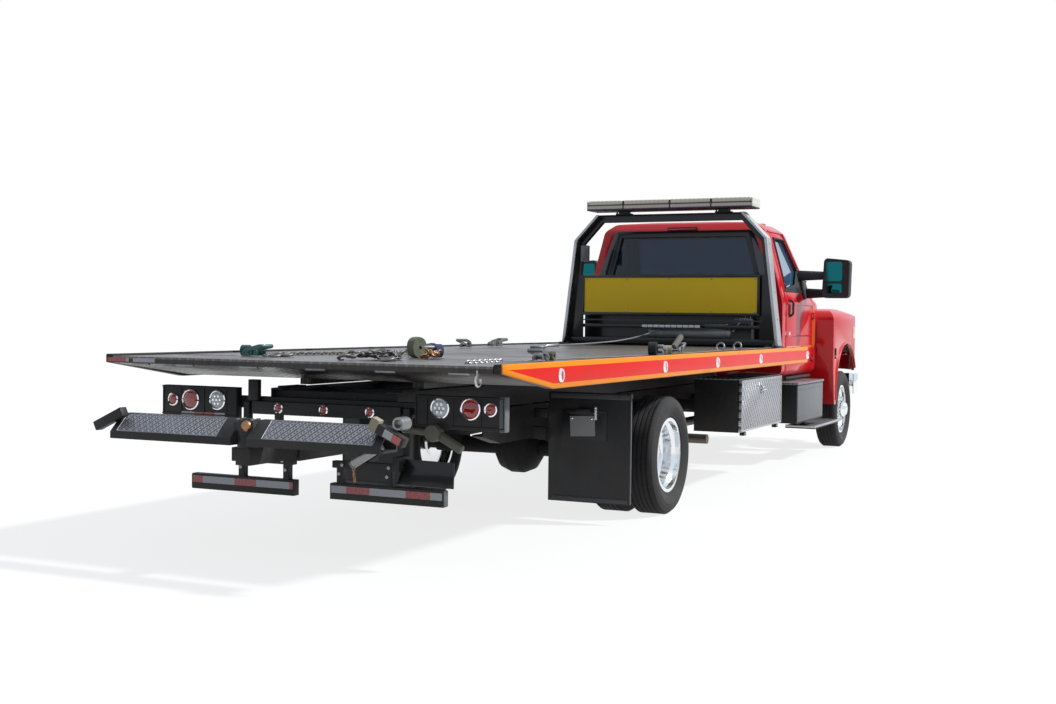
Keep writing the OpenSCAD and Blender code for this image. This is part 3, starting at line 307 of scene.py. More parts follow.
rails = {"red": (0.84, 0.014, 0.008), "yellow": (0.98, 0.3, 0.008), "share": 0.2, "rise": 0.64,
         "tailDepth": 0.05, "skin": 0.007}


def railPaint(name):
    # red with a yellow stripe along the top and another along the lower edge, which rises at the tail;
    # only the outer face is painted so, the rest is worn black
    low, high = bedLow.z, bedHigh.z
    paint = plainPaint(name, rails["red"], 0.4, coat=0.12, dust=0.08, gloss=0.12)
    x, y, z = paint.axes()
    edge = y.ramp(bedHigh.y - rails["rise"], bedHigh.y) * (high - rails["tailDepth"] - low) + low
    band = (high - low) * rails["share"]
    upper = z > high - band
    lower = (z - edge) < band
    stripe = upper.most(lower)
    base = paint.mix(stripe, rails["red"], rails["yellow"])
    grime = paint.noise(3.0, 6.0, 0.62).ramp(0.5, 0.78)
    scuff = paint.noise(22.0, 5.0, 0.6, scale=(1, 0.1, 1)).ramp(0.6, 0.7)
    worn = paint.mix(grime * 0.16 + scuff * 0.2, base, (0.14, 0.05, 0.03))
    face = abs(x) > bedHigh.x - rails["skin"]
    inner = paint.mix(scuff, (0.03, 0.028, 0.026), (0.1, 0.085, 0.07))
    paint.feed("Base Color", paint.mix(face, inner, worn))
    return paint


finishes = {}


def addFinish(name, slot, make, *values, **settings):
    # slot: the material slot that pieces with this finish count under
    finishes[name] = make(name, *values, **settings)
    finishes[name].slot = slot


addFinish("redPaint", "red_paint", plainPaint, (0.7, 0.003, 0.008), 0.3, coat=0.5, dust=0.03, gloss=0.2)
addFinish("glossBlack", "headboard_black", plainPaint, (0.009, 0.009, 0.011), 0.3, coat=0.25, dust=0.07,
          gloss=0.3)
addFinish("frameBlack", "frame_black", paintedMetal, (0.013, 0.013, 0.015), 0.5)
addFinish("castIron", "axle_black", paintedMetal, (0.022, 0.022, 0.024), 0.65)
addFinish("stepGrey", "step_grey", paintedMetal, (0.17, 0.18, 0.19), 0.45, 0.3)
addFinish("treadDeck", "deck_steel", deckSteel)
addFinish("treadStep", "lift_steel", treadSteel, (0.12, 0.12, 0.13), 0.03, rust=0.15, shine=4.0)
addFinish("treadPlate", "tread_plate", treadSteel, (0.11, 0.11, 0.115), 0.05, "x", 0.7, 0.36, rust=0.2,
          shine=6.0)
addFinish("polished", "rim", bareMetal, (0.86, 0.87, 0.88), 0.1, 0.08)
addFinish("chrome", "chrome", bareMetal, (0.9, 0.9, 0.91), 0.05, 0.04)
addFinish("wornSteel", "lift_steel", bareMetal, (0.3, 0.3, 0.305), 0.35, 0.25, 0.5)
addFinish("chainSteel", "cable_steel", bareMetal, (0.22, 0.21, 0.2), 0.4, 0.2, 0.7)
addFinish("ropeSteel", "cable_steel", bareMetal, (0.3, 0.3, 0.3), 0.42, 0.3, 0.4)
addFinish("heatSteel", "exhaust_steel", bareMetal, (0.2, 0.17, 0.14), 0.5, 0.2, 0.6)
addFinish("brassy", "lift_steel", bareMetal, (0.36, 0.2, 0.11), 0.35, 0.1, 0.4)
addFinish("tyreRubber", "tyre", rubberSkin, (0.022, 0.022, 0.024), 0.8, 0.35)
addFinish("flapRubber", "flap_rubber", rubberSkin, (0.014, 0.014, 0.016), 0.55, 0.2)
addFinish("blackPlastic", "trim_black", grainedPlastic, (0.02, 0.02, 0.022))
addFinish("greyPlastic", "trim_black", grainedPlastic, (0.1, 0.1, 0.105))
addFinish("seatCloth", "seat_cloth", webbing, (0.06, 0.06, 0.07))
addFinish("darkGlass", "glass", tintedGlass, (0.06, 0.1, 0.16))
addFinish("mirrorGlass", "chrome", bareMetal, (0.012, 0.14, 0.15), 0.06, 0.01)
# door glass: its blue colour is a painted reflection of the sky
addFinish("skyGlass", "glass", Finish, (0.07, 0.2, 0.36), 0.04, Transmission_Weight=0.35, Coat_Weight=1.0,
          Coat_Roughness=0.02)
addFinish("rearTint", "glass", plainPaint, (0.008, 0.014, 0.024), 0.15, coat=0.5, dust=0.05)
addFinish("oliveMetal", "frame_black", plainPaint, (0.13, 0.125, 0.09), 0.5, coat=0.1, dust=0.3)
addFinish("stripAlloy", "chrome", bareMetal, (0.5, 0.5, 0.5), 0.45, 0.2, 0.4)
addFinish("lampRed", "lamp_bar", lens, (0.55, 0.01, 0.012), ribs=0.02)
addFinish("lampClear", "lamp_bar", lens, (0.75, 0.77, 0.8), ribs=0.02)
addFinish("lampAmber", "lamp_bar", lens, (0.85, 0.28, 0.01), ribs=0.016)
addFinish("lensCream", "lamp_bar", lens, (0.82, 0.76, 0.58), ribs=0.045)
addFinish("lensPink", "lamp_bar", lens, (0.62, 0.5, 0.46), ribs=0.03)
addFinish("signGold", "headboard_black", plainPaint, (0.9, 0.6, 0.03), 0.4, coat=0.05, dust=0.05, gloss=0.1)
addFinish("tape", "lamp_bar", stripedTape)
addFinish("greyStrap", "seat_cloth", webbing, (0.14, 0.13, 0.11))
addFinish("railPaint", "rail_red", railPaint)
addFinish("stripeYellow", "rail_red", plainPaint, (0.92, 0.27, 0.015), 0.3, coat=0.7, dust=0.1)
addFinish("plateWhite", "step_grey", plainPaint, (0.55, 0.56, 0.57), 0.4, coat=0.2, dust=0.3)
addFinish("tealSteel", "cable_steel", plainPaint, (0.03, 0.13, 0.12), 0.4, coat=0.2, dust=0.4)
addFinish("blueSteel", "frame_black", plainPaint, (0.035, 0.05, 0.085), 0.35, coat=0.3, dust=0.3)
addFinish("steelBright", "cable_steel", bareMetal, (0.55, 0.55, 0.54), 0.25, 0.2, 0.3)
addFinish("tealStrap", "seat_cloth", webbing, (0.03, 0.1, 0.1))
addFinish("blueStrap", "seat_cloth", webbing, (0.03, 0.05, 0.14))
addFinish("blackStrap", "seat_cloth", webbing, (0.015, 0.015, 0.016))
addFinish("creamStrap", "seat_cloth", webbing, (0.42, 0.37, 0.27))
addFinish("oliveStrap", "seat_cloth", webbing, (0.16, 0.17, 0.12))
print("finishes:", len(finishes))


# modelling helpers

def deselect():
    bpy.ops.object.select_all(action="DESELECT")


def only(piece):
    deselect()
    piece.select_set(True)
    bpy.context.view_layer.objects.active = piece


def settle(piece):
    only(piece)
    bpy.ops.object.transform_apply(location=True, rotation=True, scale=True)


def applyModifiers(piece):
    only(piece)
    for modifier in list(piece.modifiers):
        bpy.ops.object.modifier_apply(modifier=modifier.name)


def pick(piece, kind, test):
    # edit mode with the faces or edges whose middle (and direction) pass the test
    only(piece)
    bpy.ops.object.mode_set(mode="EDIT")
    bpy.ops.mesh.select_mode(type=kind)
    bpy.ops.mesh.select_all(action="DESELECT")
    bpy.ops.object.mode_set(mode="OBJECT")
    corners = piece.data.vertices
    if kind == "FACE":
        for face in piece.data.polygons:
            face.select = bool(test(face.center, face.normal))
    else:
        for edge in piece.data.edges:
            a, b = (corners[i].co for i in edge.vertices)
            edge.select = bool(test((a + b) / 2, (b - a)))
    bpy.ops.object.mode_set(mode="EDIT")


def done():
    bpy.ops.object.mode_set(mode="OBJECT")


def roundEdges(piece, width, segments=2, test=lambda middle, along: True):
    pick(piece, "EDGE", test)
    bpy.ops.mesh.bevel(offset=width, segments=segments, affect="EDGES", clamp_overlap=True)
    done()
    return piece


def block(low, high, bevel=0.003, segments=2):
    low, high = Vector(low), Vector(high)
    bpy.ops.mesh.primitive_cube_add(size=1, location=(low + high) / 2)
    piece = bpy.context.object
    piece.scale = high - low
    settle(piece)
    return roundEdges(piece, bevel, segments) if bevel else piece


def aim(axis):
    return Vector(axis).to_track_quat("Z", "Y").to_euler()


def drum(start, end, radius, sides=32, bevel=0.002, endRadius=None):
    start, end = Vector(start), Vector(end)
    axis = end - start
    settings = {"vertices": sides, "depth": axis.length, "location": (start + end) / 2, "rotation": aim(axis)}
    if endRadius is None:
        bpy.ops.mesh.primitive_cylinder_add(radius=radius, **settings)
    else:
        bpy.ops.mesh.primitive_cone_add(radius1=radius, radius2=endRadius, **settings)
    piece = bpy.context.object
    settle(piece)
    way = axis.normalized()
    if bevel:
        roundEdges(piece, bevel, 2, lambda middle, along: abs(along.normalized().dot(way)) < 0.2)
    return piece


def studs(spots, way, radius, sides=6, bevel=0.001):
    # bolt heads or rivets in one piece, each standing out of its spot
    return join([drum(spot, Vector(spot) + Vector(way), radius, sides, bevel) for spot in spots])


def chainOfPoints(points):
    # a single vertex drawn out along the points
    bpy.ops.mesh.primitive_plane_add(size=1, location=(0, 0, 0))
    piece = bpy.context.object
    bpy.ops.object.mode_set(mode="EDIT")
    bpy.ops.mesh.select_mode(type="VERT")
    bpy.ops.mesh.select_all(action="SELECT")
    bpy.ops.mesh.merge(type="CENTER")
    bpy.ops.transform.translate(value=points[0])
    for before, after in zip(points, points[1:]):
        step = Vector(after) - Vector(before)
        bpy.ops.mesh.extrude_vertices_move(TRANSFORM_OT_translate={"value": step})
    return piece


def lathe(outline, centre, axis=(1, 0, 0), steps=64):
    # outline: (radius, offset along the axis)
    piece = chainOfPoints([(radius, 0, offset) for radius, offset in outline])
    bpy.ops.mesh.select_all(action="SELECT")
    bpy.ops.mesh.spin(steps=steps, angle=math.tau, center=(0, 0, 0), axis=(0, 0, 1))
    bpy.ops.mesh.select_all(action="SELECT")
    bpy.ops.mesh.remove_doubles(threshold=0.00002)
    bpy.ops.mesh.normals_make_consistent(inside=False)
    done()
    piece.rotation_euler = aim(axis)
    piece.location = centre
    settle(piece)
    return piece


def slab(outline, thickness, bevel=0.002, segments=2):
    # flat outline in space, drawn out by the thickness vector
    piece = chainOfPoints(outline)
    bpy.ops.mesh.select_all(action="SELECT")
    bpy.ops.mesh.edge_face_add()
    bpy.ops.mesh.extrude_region_move(TRANSFORM_OT_translate={"value": thickness})
    bpy.ops.mesh.select_all(action="SELECT")
    bpy.ops.mesh.normals_make_consistent(inside=False)
    done()
    return roundEdges(piece, bevel, segments) if bevel else piece


def tube(points, radius, sides=3, smooth=True, closed=False):
    line = bpy.data.curves.new("line", "CURVE")
    line.dimensions = "3D"
    line.bevel_depth = radius
    line.bevel_resolution = sides
    line.use_fill_caps = True
    line.resolution_u = 8
    spline = line.splines.new("BEZIER" if smooth else "POLY")
    spots = spline.bezier_points if smooth else spline.points
    spots.add(len(points) - 1)
    for spot, point in zip(spots, points):
        if smooth:
            spot.co = point
            spot.handle_left_type = "AUTO"
            spot.handle_right_type = "AUTO"
        else:
            spot.co = (*point, 1)
    spline.use_cyclic_u = closed
    piece = bpy.data.objects.new("line", line)
    bpy.context.scene.collection.objects.link(piece)
    only(piece)
    bpy.ops.object.convert(target="MESH")
    return bpy.context.object


def join(pieces):
    deselect()
    for piece in pieces:
        piece.select_set(True)
    bpy.context.view_layer.objects.active = pieces[0]
    bpy.ops.object.join()
    return bpy.context.object


def copyTo(piece, matrix):
    twin = piece.copy()
    twin.data = piece.data.copy()
    twin.data.transform(matrix)
    bpy.context.scene.collection.objects.link(twin)
    return twin


def spread(piece, matrices):
    # copies at each matrix, joined; the model itself is removed
    twins = [copyTo(piece, matrix) for matrix in matrices]
    bpy.data.objects.remove(piece)
    return join(twins)


def mirrored(piece):
    only(piece)
    twin = copyTo(piece, Matrix.Scale(-1, 4, (1, 0, 0)))
    only(twin)
    bpy.ops.object.mode_set(mode="EDIT")
    bpy.ops.mesh.select_all(action="SELECT")
    bpy.ops.mesh.flip_normals()
    done()
    return twin


def dress(piece, name, body, finish, smooth=35):
    piece.name = name
    settle(piece)
    piece.data.materials.clear()
    piece.data.materials.append(finishes[finish].material)
    if smooth:
        bpy.ops.object.shade_smooth_by_angle(angle=math.radians(smooth))
    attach(piece, body)
    return piece


def bothSides(left, name, part, finish, smooth=35):
    # the piece on the left and its mirror twin on the right; part is one body for both,
    # or what the names of a left and a right body begin with
    for piece, side in ((left, "Left"), (mirrored(left), "Right")):
        body = part + "_" + side.lower()
        dress(piece, name + side, body if body in bodyNames else part, finish, smooth)


def mirroredOnly(piece):
    twin = mirrored(piece)
    bpy.data.objects.remove(piece)
    return twin


# camera, light and floor

view = {
    "place": (-4.26, 10.70, 1.371),
    "yaw": 24.963,
    "down": 1.404,
    "roll": 0.676,
    "focal": 45.68,
}


def makeCamera():
    yaw, down, roll = (math.radians(view[key]) for key in ("yaw", "down", "roll"))
    forward = Vector((math.sin(yaw) * math.cos(down), -math.cos(yaw) * math.cos(down), -math.sin(down)))
    right = forward.cross(Vector((0, 0, 1))).normalized()
    up = right.cross(forward)
    rolledRight = right * math.cos(roll) + up * math.sin(roll)
    rolledUp = up * math.cos(roll) - right * math.sin(roll)
    bpy.ops.object.camera_add(location=view["place"])
    camera = bpy.context.object
    turn = Matrix((rolledRight, rolledUp, -forward)).transposed()
    camera.rotation_euler = turn.to_euler()
    camera.data.lens = view["focal"]
    camera.data.sensor_width = 36
    camera.data.clip_end = 200
    bpy.context.scene.camera = camera


stage = {
    "seenFloor": 0.8,               # how white the floor looks to the camera and in reflections
    "floor": (0.2, 0.2, 0.2),
    "bounce": (0.3, 0.29, 0.28),
    "skyLight": (0.36, 0.4, 0.46),
    "skyMirrored": (0.74, 0.82, 0.92),
    "sun": 3.3,
    "sunAngle": 0.09,
    "sunWay": (0.66, 0.30, -0.69),
}


def pathMix(material, light, mirror, camera):
    # one colour for plain light, one for reflections, one for the camera and what glass lets through
    seen = material.node("LightPath", out=0).most(material.node("LightPath", out=6))
    mirrored = material.mix(material.node("LightPath", out=3), light, mirror)
    return material.mix(seen, mirrored, camera)


def makeStage():
    bpy.ops.mesh.primitive_plane_add(size=80, location=(0, 0, 0))
    floor = bpy.context.object
    floor.name = "floor"
    ground = Finish("floorPaint", stage["floor"], 0.9, Specular_IOR_Level=0.0)
    white = (stage["seenFloor"],) * 3
    ground.feed("Base Color", pathMix(ground, stage["bounce"], stage["floor"], stage["floor"]))
    ground.feed("Emission Color", pathMix(ground, (0, 0, 0), white, white))
    ground.feed("Emission Strength", 1.0)
    floor.data.materials.append(ground.material)
    world = bpy.data.worlds.new("sky")
    bpy.context.scene.world = world
    world.use_nodes = True
    sky = Tree(world.node_tree)
    colour = pathMix(sky, stage["skyLight"], stage["skyMirrored"], (1, 1, 1))
    sky.tree.links.new(colour.socket, sky.tree.nodes["Background"].inputs["Color"])


def makeLights():
    turn = Vector(stage["sunWay"]).to_track_quat("-Z", "Y").to_euler()
    bpy.ops.object.light_add(type="SUN", rotation=turn)
    sun = bpy.context.object
    sun.data.energy = stage["sun"]
    sun.data.angle = stage["sunAngle"]
    bpy.context.scene.view_settings.view_transform = "Standard"


makeCamera()
makeStage()
makeLights()
print("camera, stage and lights ready")


# CAD nodes: finishes and softened edges

# finish and edge rounding of each node, or of the left and right nodes whose names begin so;
# without a rounding the CAD mesh itself is dressed
nodeFinish = {
    "chassis_frame": ("frameBlack", 0.003),
    "front_axle": ("castIron", 0.006),
    "rear_axle": ("castIron", 0.0),
    "leaf_springs": ("frameBlack", 0.0),
    "engine": ("castIron", 0.012),
    "exhaust": ("heatSteel", 0.0),
    "step_boxes": ("frameBlack", 0.004),
    "tool_boxes": ("frameBlack", 0.004),
    "mud_flaps": ("flapRubber", 0.002),
    "front_bumper": ("chrome", 0.004),
    "cab_shell": ("redPaint", 0.008),
    "cab_glass": ("darkGlass", 0.0),
    "seats": ("seatCloth", 0.02),
    "dashboard": ("greyPlastic", 0.008),
    "steering_wheel": ("blackPlastic", 0.0),
    "tool_door": ("treadPlate", 0.003),
    "door": ("redPaint", 0.005),
    "door_glass": ("skyGlass", 0.0),
    "mirror": ("blackPlastic", 0.006),
    "hood": ("redPaint", 0.02),
    "grille": ("chrome", 0.002),
    "knuckle": ("castIron", 0.003),
    "front_rim": ("polished", 0.0),
    "front_tyre": ("tyreRubber", 0.0),
    "rear_rims": ("polished", 0.0),
    "rear_tyres": ("tyreRubber", 0.0),
    "tilt_frame": ("frameBlack", 0.003),
    "tail_frame": ("frameBlack", 0.003),
    "tilt_barrels": ("glossBlack", 0.0),
    "tilt_rods": ("chrome", 0.0),
    "slide_barrel": ("glossBlack", 0.0),
    "slide_rod": ("chrome", 0.0),
    "bed_deck": ("treadDeck", 0.0),
    "bed_rails": ("railPaint", 0.006),
    "headboard": ("glossBlack", 0.006),
    "light_bar": ("lensCream", 0.0),
    "winch": ("frameBlack", 0.004),
    "winch_drum": ("ropeSteel", 0.0),
    "lift_boom": ("frameBlack", 0.003),
    "lift_stinger": ("frameBlack", 0.003),
    "lift_crossbar": ("frameBlack", 0.003),
}


def soften(node, width):
    # a merged copy of the CAD mesh with its edges rounded
    source = nodes[node]
    piece = source.copy()
    piece.data = source.data.copy()
    piece.parent = None
    bpy.context.scene.collection.objects.link(piece)
    for key in list(piece.keys()):
        del piece[key]
    only(piece)
    bpy.ops.object.mode_set(mode="EDIT")
    bpy.ops.mesh.select_all(action="SELECT")
    bpy.ops.mesh.remove_doubles(threshold=0.00005)
    bpy.ops.mesh.dissolve_limited(angle_limit=math.radians(1.0))
    done()
    rounding = piece.modifiers.new("rounding", "BEVEL")
    rounding.width = width
    rounding.segments = 2
    rounding.limit_method = "ANGLE"
    rounding.angle_limit = math.radians(40)
    applyModifiers(piece)
    return piece


def dressNode(node, finish, width):
    if width:
        words = node.split("_")
        name = words[0] + "".join(word.capitalize() for word in words[1:])
        piece = dress(soften(node, width), name, nodeBody[node], finish)
        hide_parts(node)
    else:
        nodes[node].data.materials.clear()
        nodes[node].data.materials.append(finishes[finish].material)


for stem, (finish, width) in nodeFinish.items():
    for node in (stem, stem + "_left", stem + "_right"):
        if node in nodes:
            dressNode(node, finish, width)
print("CAD nodes dressed")


# places read from the frame

def sides(node):
    low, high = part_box(node)
    return low, high, (low + high) / 2


def middleOf(node):
    return sides(node)[2]


def ring(radius, thick, centre, axis, steps=40, sides=8):
    bpy.ops.mesh.primitive_torus_add(major_radius=radius, minor_radius=thick, major_segments=steps,
                                     minor_segments=sides, location=centre, rotation=aim(axis))
    settle(bpy.context.object)
    return bpy.context.object


def turnsAbout(centre, axis, count, start=0.0):
    centre = Vector(centre)
    return [Matrix.Translation(centre) @ Matrix.Rotation(start + math.tau * i / count, 4, axis)
            @ Matrix.Translation(-centre) for i in range(count)]


def shifted(x=0.0, y=0.0, z=0.0):
    return Matrix.Translation((x, y, z))


# wheels

rimEdge = 0.252                 # radius where the tyre's bead sits
rimHalf = 0.0855                # half the width between the beads


def tyreOutline(radius, half, grooves, crownDrop):
    side = [(rimEdge + 0.001, rimHalf - 0.007), (rimEdge + 0.014, rimHalf + 0.003),
            (rimEdge + 0.022, rimHalf + 0.008), (rimEdge + 0.026, rimHalf + 0.013),
            (rimEdge + 0.032, rimHalf + 0.013), (rimEdge + 0.036, rimHalf + 0.015),
            (rimEdge + 0.062, half - 0.005), (rimEdge + 0.084, half - 0.0015), (rimEdge + 0.088, half),
            (rimEdge + 0.098, half), (rimEdge + 0.102, half - 0.002), (radius - 0.052, half - 0.004),
            (radius - 0.038, half - 0.008), (radius - 0.034, half - 0.011), (radius - 0.02, half - 0.016),
            (radius - 0.008 - crownDrop, half - 0.03), (radius - crownDrop, half - 0.046)]
    tread = []
    for groove in grooves:
        tread += [(radius - crownDrop, groove + 0.006), (radius - crownDrop - 0.009, groove + 0.004),
                  (radius - crownDrop - 0.009, groove - 0.004), (radius - crownDrop, groove - 0.006)]
    return side + tread + [(r, -offset) for r, offset in reversed(side)]


def makeTyre(radius, half, grooves):
    body = lathe(tyreOutline(radius, half, grooves, 0.0004), (0, 0, 0), (1, 0, 0), 104)
    # short bars across the tread along both shoulders
    bars = []
    for sign in (1, -1):
        x = sign * (half - 0.05)
        bar = block((x - 0.012, -0.0022, radius - 0.0045), (x + 0.012, 0.0022, radius - 0.0001), 0)
        bars.append(spread(bar, turnsAbout((0, 0, 0), "X", 96)))
    return join([body] + bars)


def makeTyres():
    low, high, middle = sides("front_tyre_left")
    radius = (high.z - low.z) / 2
    half = (high.x - low.x) / 2
    front = makeTyre(radius, half, [0.055, 0.0185, -0.0185, -0.055])
    rear = makeTyre(radius, half, [0.068, 0.034, 0.0, -0.034, -0.068])
    rearLow, rearHigh, rearMiddle = sides("rear_tyres_left")
    for side, sign in (("Left", 1), ("Right", -1)):
        tyre = copyTo(front, shifted(sign * middle.x, middle.y, middle.z))
        dress(tyre, "frontTyre" + side, "wheel_front_" + side.lower(), "tyreRubber", 30)
        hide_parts("front_tyre_" + side.lower())
        inner = copyTo(rear, shifted(sign * (rearLow.x + half), rearMiddle.y, rearMiddle.z))
        outer = copyTo(rear, shifted(sign * (rearHigh.x - half), rearMiddle.y, rearMiddle.z))
        twins = dress(join([inner, outer]), "rearTyres" + side, "wheels_rear_" + side.lower(), "tyreRubber",
                      30)
        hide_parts("rear_tyres_" + side.lower())
    bpy.data.objects.remove(front)
    bpy.data.objects.remove(rear)


def wheelNut(x, radius, height):
    flange = drum((x, 0, radius), (x + 0.004, 0, radius), 0.0185, 16, 0)
    nut = drum((x + 0.003, 0, radius), (x + height, 0, radius), 0.016, 6, 0.002)
    cap = drum((x + height - 0.001, 0, radius), (x + height + 0.01, 0, radius), 0.0115, 16, 0.003)
    return join([flange, nut, cap])


def nutCircle(x, centre, radius, height, count=10):
    nut = wheelNut(x, radius, height)
    placed = spread(nut, turnsAbout((0, 0, 0), "X", count, math.tau / count / 2))
    return spread(placed, [shifted(0, centre.y, centre.z)])


def hubBolts(start, end, middle, radius, size):
    # eight heads in a circle; start and end are their places along X
    head = drum((start, 0, radius), (end, 0, radius), size, 6, 0.001)
    return spread(head, [shifted(0, middle.y, middle.z) @ turn for turn in turnsAbout((0, 0, 0), "X", 8)])


def makeWheelTrim():
    middle = middleOf("front_rim_left")
    x = middleOf("front_tyre_left").x
    bothSides(nutCircle(x + 0.069, middle, 0.128, 0.022), "frontNuts", "wheel_front", "chrome")
    hub = [(0.0, 0.158), (0.03, 0.157), (0.048, 0.153), (0.06, 0.146), (0.064, 0.136), (0.088, 0.124),
           (0.092, 0.116), (0.092, 0.078), (0.0, 0.078)]
    bothSides(lathe(hub, (x, middle.y, middle.z), (1, 0, 0), 48), "frontHubCap", "wheel_front", "chrome")
    bothSides(hubBolts(x + 0.114, x + 0.131, middle, 0.078, 0.007), "frontHubBolts", "wheel_front", "chrome")
    middle = middleOf("rear_tyres_left")
    x, y, z = middle
    bothSides(nutCircle(x - 0.001, middle, 0.122, 0.028), "rearNuts", "wheels_rear", "chrome")
    hub = [(0.0, 0.154), (0.052, 0.153), (0.064, 0.149), (0.07, 0.14), (0.092, 0.134), (0.096, 0.126),
           (0.096, 0.03), (0.0, 0.03)]
    bothSides(lathe(hub, middle, (1, 0, 0), 48), "rearHubCover", "wheels_rear", "polished")
    bothSides(hubBolts(x + 0.13, x + 0.141, middle, 0.081, 0.0075), "rearHubBolts", "wheels_rear", "chrome")
    valve = [(x + 0.01, y, z + 0.172), (x + 0.06, y + 0.01, z + 0.188), (x + 0.115, y + 0.014, z + 0.196)]
    bothSides(tube(valve, 0.0035), "rearValves", "wheels_rear", "brassy")


makeTyres()
makeWheelTrim()
print("wheels done")


# lamps

def lampLens(x, y, z, radius, height=0.014):
    dome = [(0.0, height), (radius * 0.55, height * 0.9), (radius * 0.85, height * 0.62),
            (radius * 0.97, height * 0.28), (radius, 0.0), (0.0, 0.0)]
    return lathe(dome, (x, y, z), (0, 1, 0), 32)


def lampBezel(x, y, z, radius):
    outline = [(radius - 0.001, 0.0), (radius - 0.001, 0.009), (radius + 0.003, 0.013),
               (radius + 0.009, 0.009), (radius + 0.011, 0.0), (radius - 0.001, 0.0)]
    return lathe(outline, (x, y, z), (0, 1, 0), 40)


def diodes(x, y, z, radius, name):
    # one in the middle with a ring of them around it
    spots = [(0.0, 0.0)] + [(radius * 0.5 * math.cos(a), radius * 0.5 * math.sin(a))
                            for a in (math.tau * i / 6 for i in range(6))]
    dot = lathe([(0.0, 0.005), (0.006, 0.003), (0.008, 0.0), (0.0, 0.0)], (x, y, z), (0, 1, 0), 12)
    dress(spread(dot, [shifted(u, 0, v) for u, v in spots]), name, "subframe", "chrome")


panelFace = 4.3                 # rear face of the lamp panels
beamFace = 4.29                 # and of the beam between them
tailLamps = [
    ("leftSmall", 1.066, 0.866, 0.03, "lampRed", panelFace),
    ("leftBig", 0.935, 0.869, 0.054, "lampRed", panelFace),
    ("leftClear", 0.738, 0.873, 0.05, "lampClear", panelFace),
    ("rightClear", -0.758, 0.881, 0.05, "lampClear", panelFace),
    ("rightBig", -0.946, 0.884, 0.052, "lampRed", panelFace),
    ("rightSmall", -1.068, 0.885, 0.03, "lampRed", panelFace),
    ("middleLeft", 0.308, 0.84, 0.022, "lampRed", beamFace),
    ("middle", 0.0, 0.84, 0.022, "lampRed", beamFace),
    ("middleRight", -0.307, 0.84, 0.022, "lampRed", beamFace),
]


def makeTailLamps():
    for name, x, z, radius, finish, face in tailLamps:
        dress(lampLens(x, face, z, radius), name + "Lens", "subframe", finish)
        dress(lampBezel(x, face, z, radius), name + "Bezel", "subframe", "chrome")
        if finish == "lampClear":
            diodes(x, face + 0.012, z, radius, name + "Diodes")
    strip = block((0.685, panelFace - 0.001, 0.774), (1.011, panelFace + 0.0025, 0.796), 0.0005, 1)
    dress(strip, "panelStripLeft", "subframe", "tape")
    cap = block((-1.152, panelFace - 0.052, 0.764), (-1.118, panelFace + 0.004, 0.953), 0.003)
    dress(cap, "panelEndCap", "subframe", "stepGrey")
    ribs = [block((0.6, panelFace, z), (1.15, panelFace + 0.006, z + 0.008), 0.002) for z in (0.778, 0.939)]
    ribs += [block((x, panelFace, 0.778), (x + 0.006, panelFace + 0.004, 0.947), 0.001)
             for x in (0.604, 0.672, 0.836, 1.004, 1.14)]
    bothSides(join(ribs), "panelRibs", "subframe", "frameBlack")


makeTailLamps()
print("tail lamps done")


# guard bars, braces and plate

def makeGuard():
    guardFace = 4.405           # rear face of the guard bars
    bothSides(block((0.128, guardFace - 0.001, 0.392), (0.832, guardFace + 0.002, 0.432), 0.0005, 1),
              "guardTape", "subframe", "tape")
    spots = [(x, guardFace - 0.006, z) for x, z in ((0.18, 0.5), (0.49, 0.5), (0.2, 0.55), (0.5, 0.55))]
    bothSides(studs(spots, (0, 0.012, 0), 0.011), "guardBolts", "subframe", "wornSteel")
    bothSides(block((0.836, guardFace - 0.048, 0.359), (0.844, guardFace - 0.002, 0.441), 0.002),
              "guardEnds", "subframe", "greyPlastic")
    # slanted braces from the lift's pivot down to the guard posts
    bothSides(tube([(0.47, 4.38, 0.66), (0.38, 4.385, 0.605), (0.3, 4.38, 0.56)], 0.016, smooth=False),
              "guardBrace", "subframe", "frameBlack")
    slate = slab([(-0.53, 4.36, 0.455), (-0.88, 4.36, 0.452), (-0.86, 4.315, 0.588), (-0.55, 4.315, 0.592)],
                 (0, 0.008, 0.003), 0.002)
    dress(slate, "tailGuardPlate", "subframe", "glossBlack")
    post = block((0.46, 4.252, 0.878), (0.53, 4.288, 1.0), 0.004)
    dress(post, "tailPost", "subframe", "frameBlack")


def makePlate():
    face = 2.349                # rear face of the flaps' bracket
    plate = block((-0.872, face, 0.585), (-0.692, face + 0.003, 0.722), 0.001, 1)
    plate.data.transform(Matrix.Translation((-0.782, face, 0.72)) @ Matrix.Rotation(math.radians(2.5), 4, "Y")
                         @ Matrix.Translation((0.782, -face, -0.72)))
    dress(plate, "licencePlate", "truck", "plateWhite")
    light = join([block((-0.85, face, 0.742), (-0.75, face + 0.034, 0.772), 0.004),
                  block((-0.83, face + 0.01, 0.736), (-0.77, face + 0.03, 0.744), 0.002)])
    dress(light, "plateLight", "truck", "blackPlastic")
    coil = [(-0.885 + 0.011 * math.cos(a), face + 0.012 + 0.011 * math.sin(a), 0.7 + a / math.tau * 0.011)
            for a in (math.tau * i / 12 for i in range(97))]
    dress(tube(coil, 0.0025, 2), "flapSpring", "truck", "chrome")
    bolts = studs([(-0.71, face - 0.003, 0.705), (-0.855, face - 0.003, 0.705)], (0, 0.011, 0), 0.007, 8)
    dress(bolts, "plateBolts", "truck", "chrome")
    # ribs and a stiff edge on each flap
    edge = block((1.122, 2.322, 0.14), (1.131, 2.34, 0.876), 0.002)
    strip = block((0.545, 2.336, 0.838), (1.12, 2.343, 0.872), 0.002)
    lower = block((0.56, 2.3365, 0.142), (1.11, 2.341, 0.17), 0.002)
    heads = studs([(x, 2.342, 0.855) for x in (0.6, 0.74, 0.9, 1.05)], (0, 0.008, 0), 0.009, 8)
    bothSides(join([edge, strip, lower, heads]), "flapTrim", "truck", "greyPlastic")


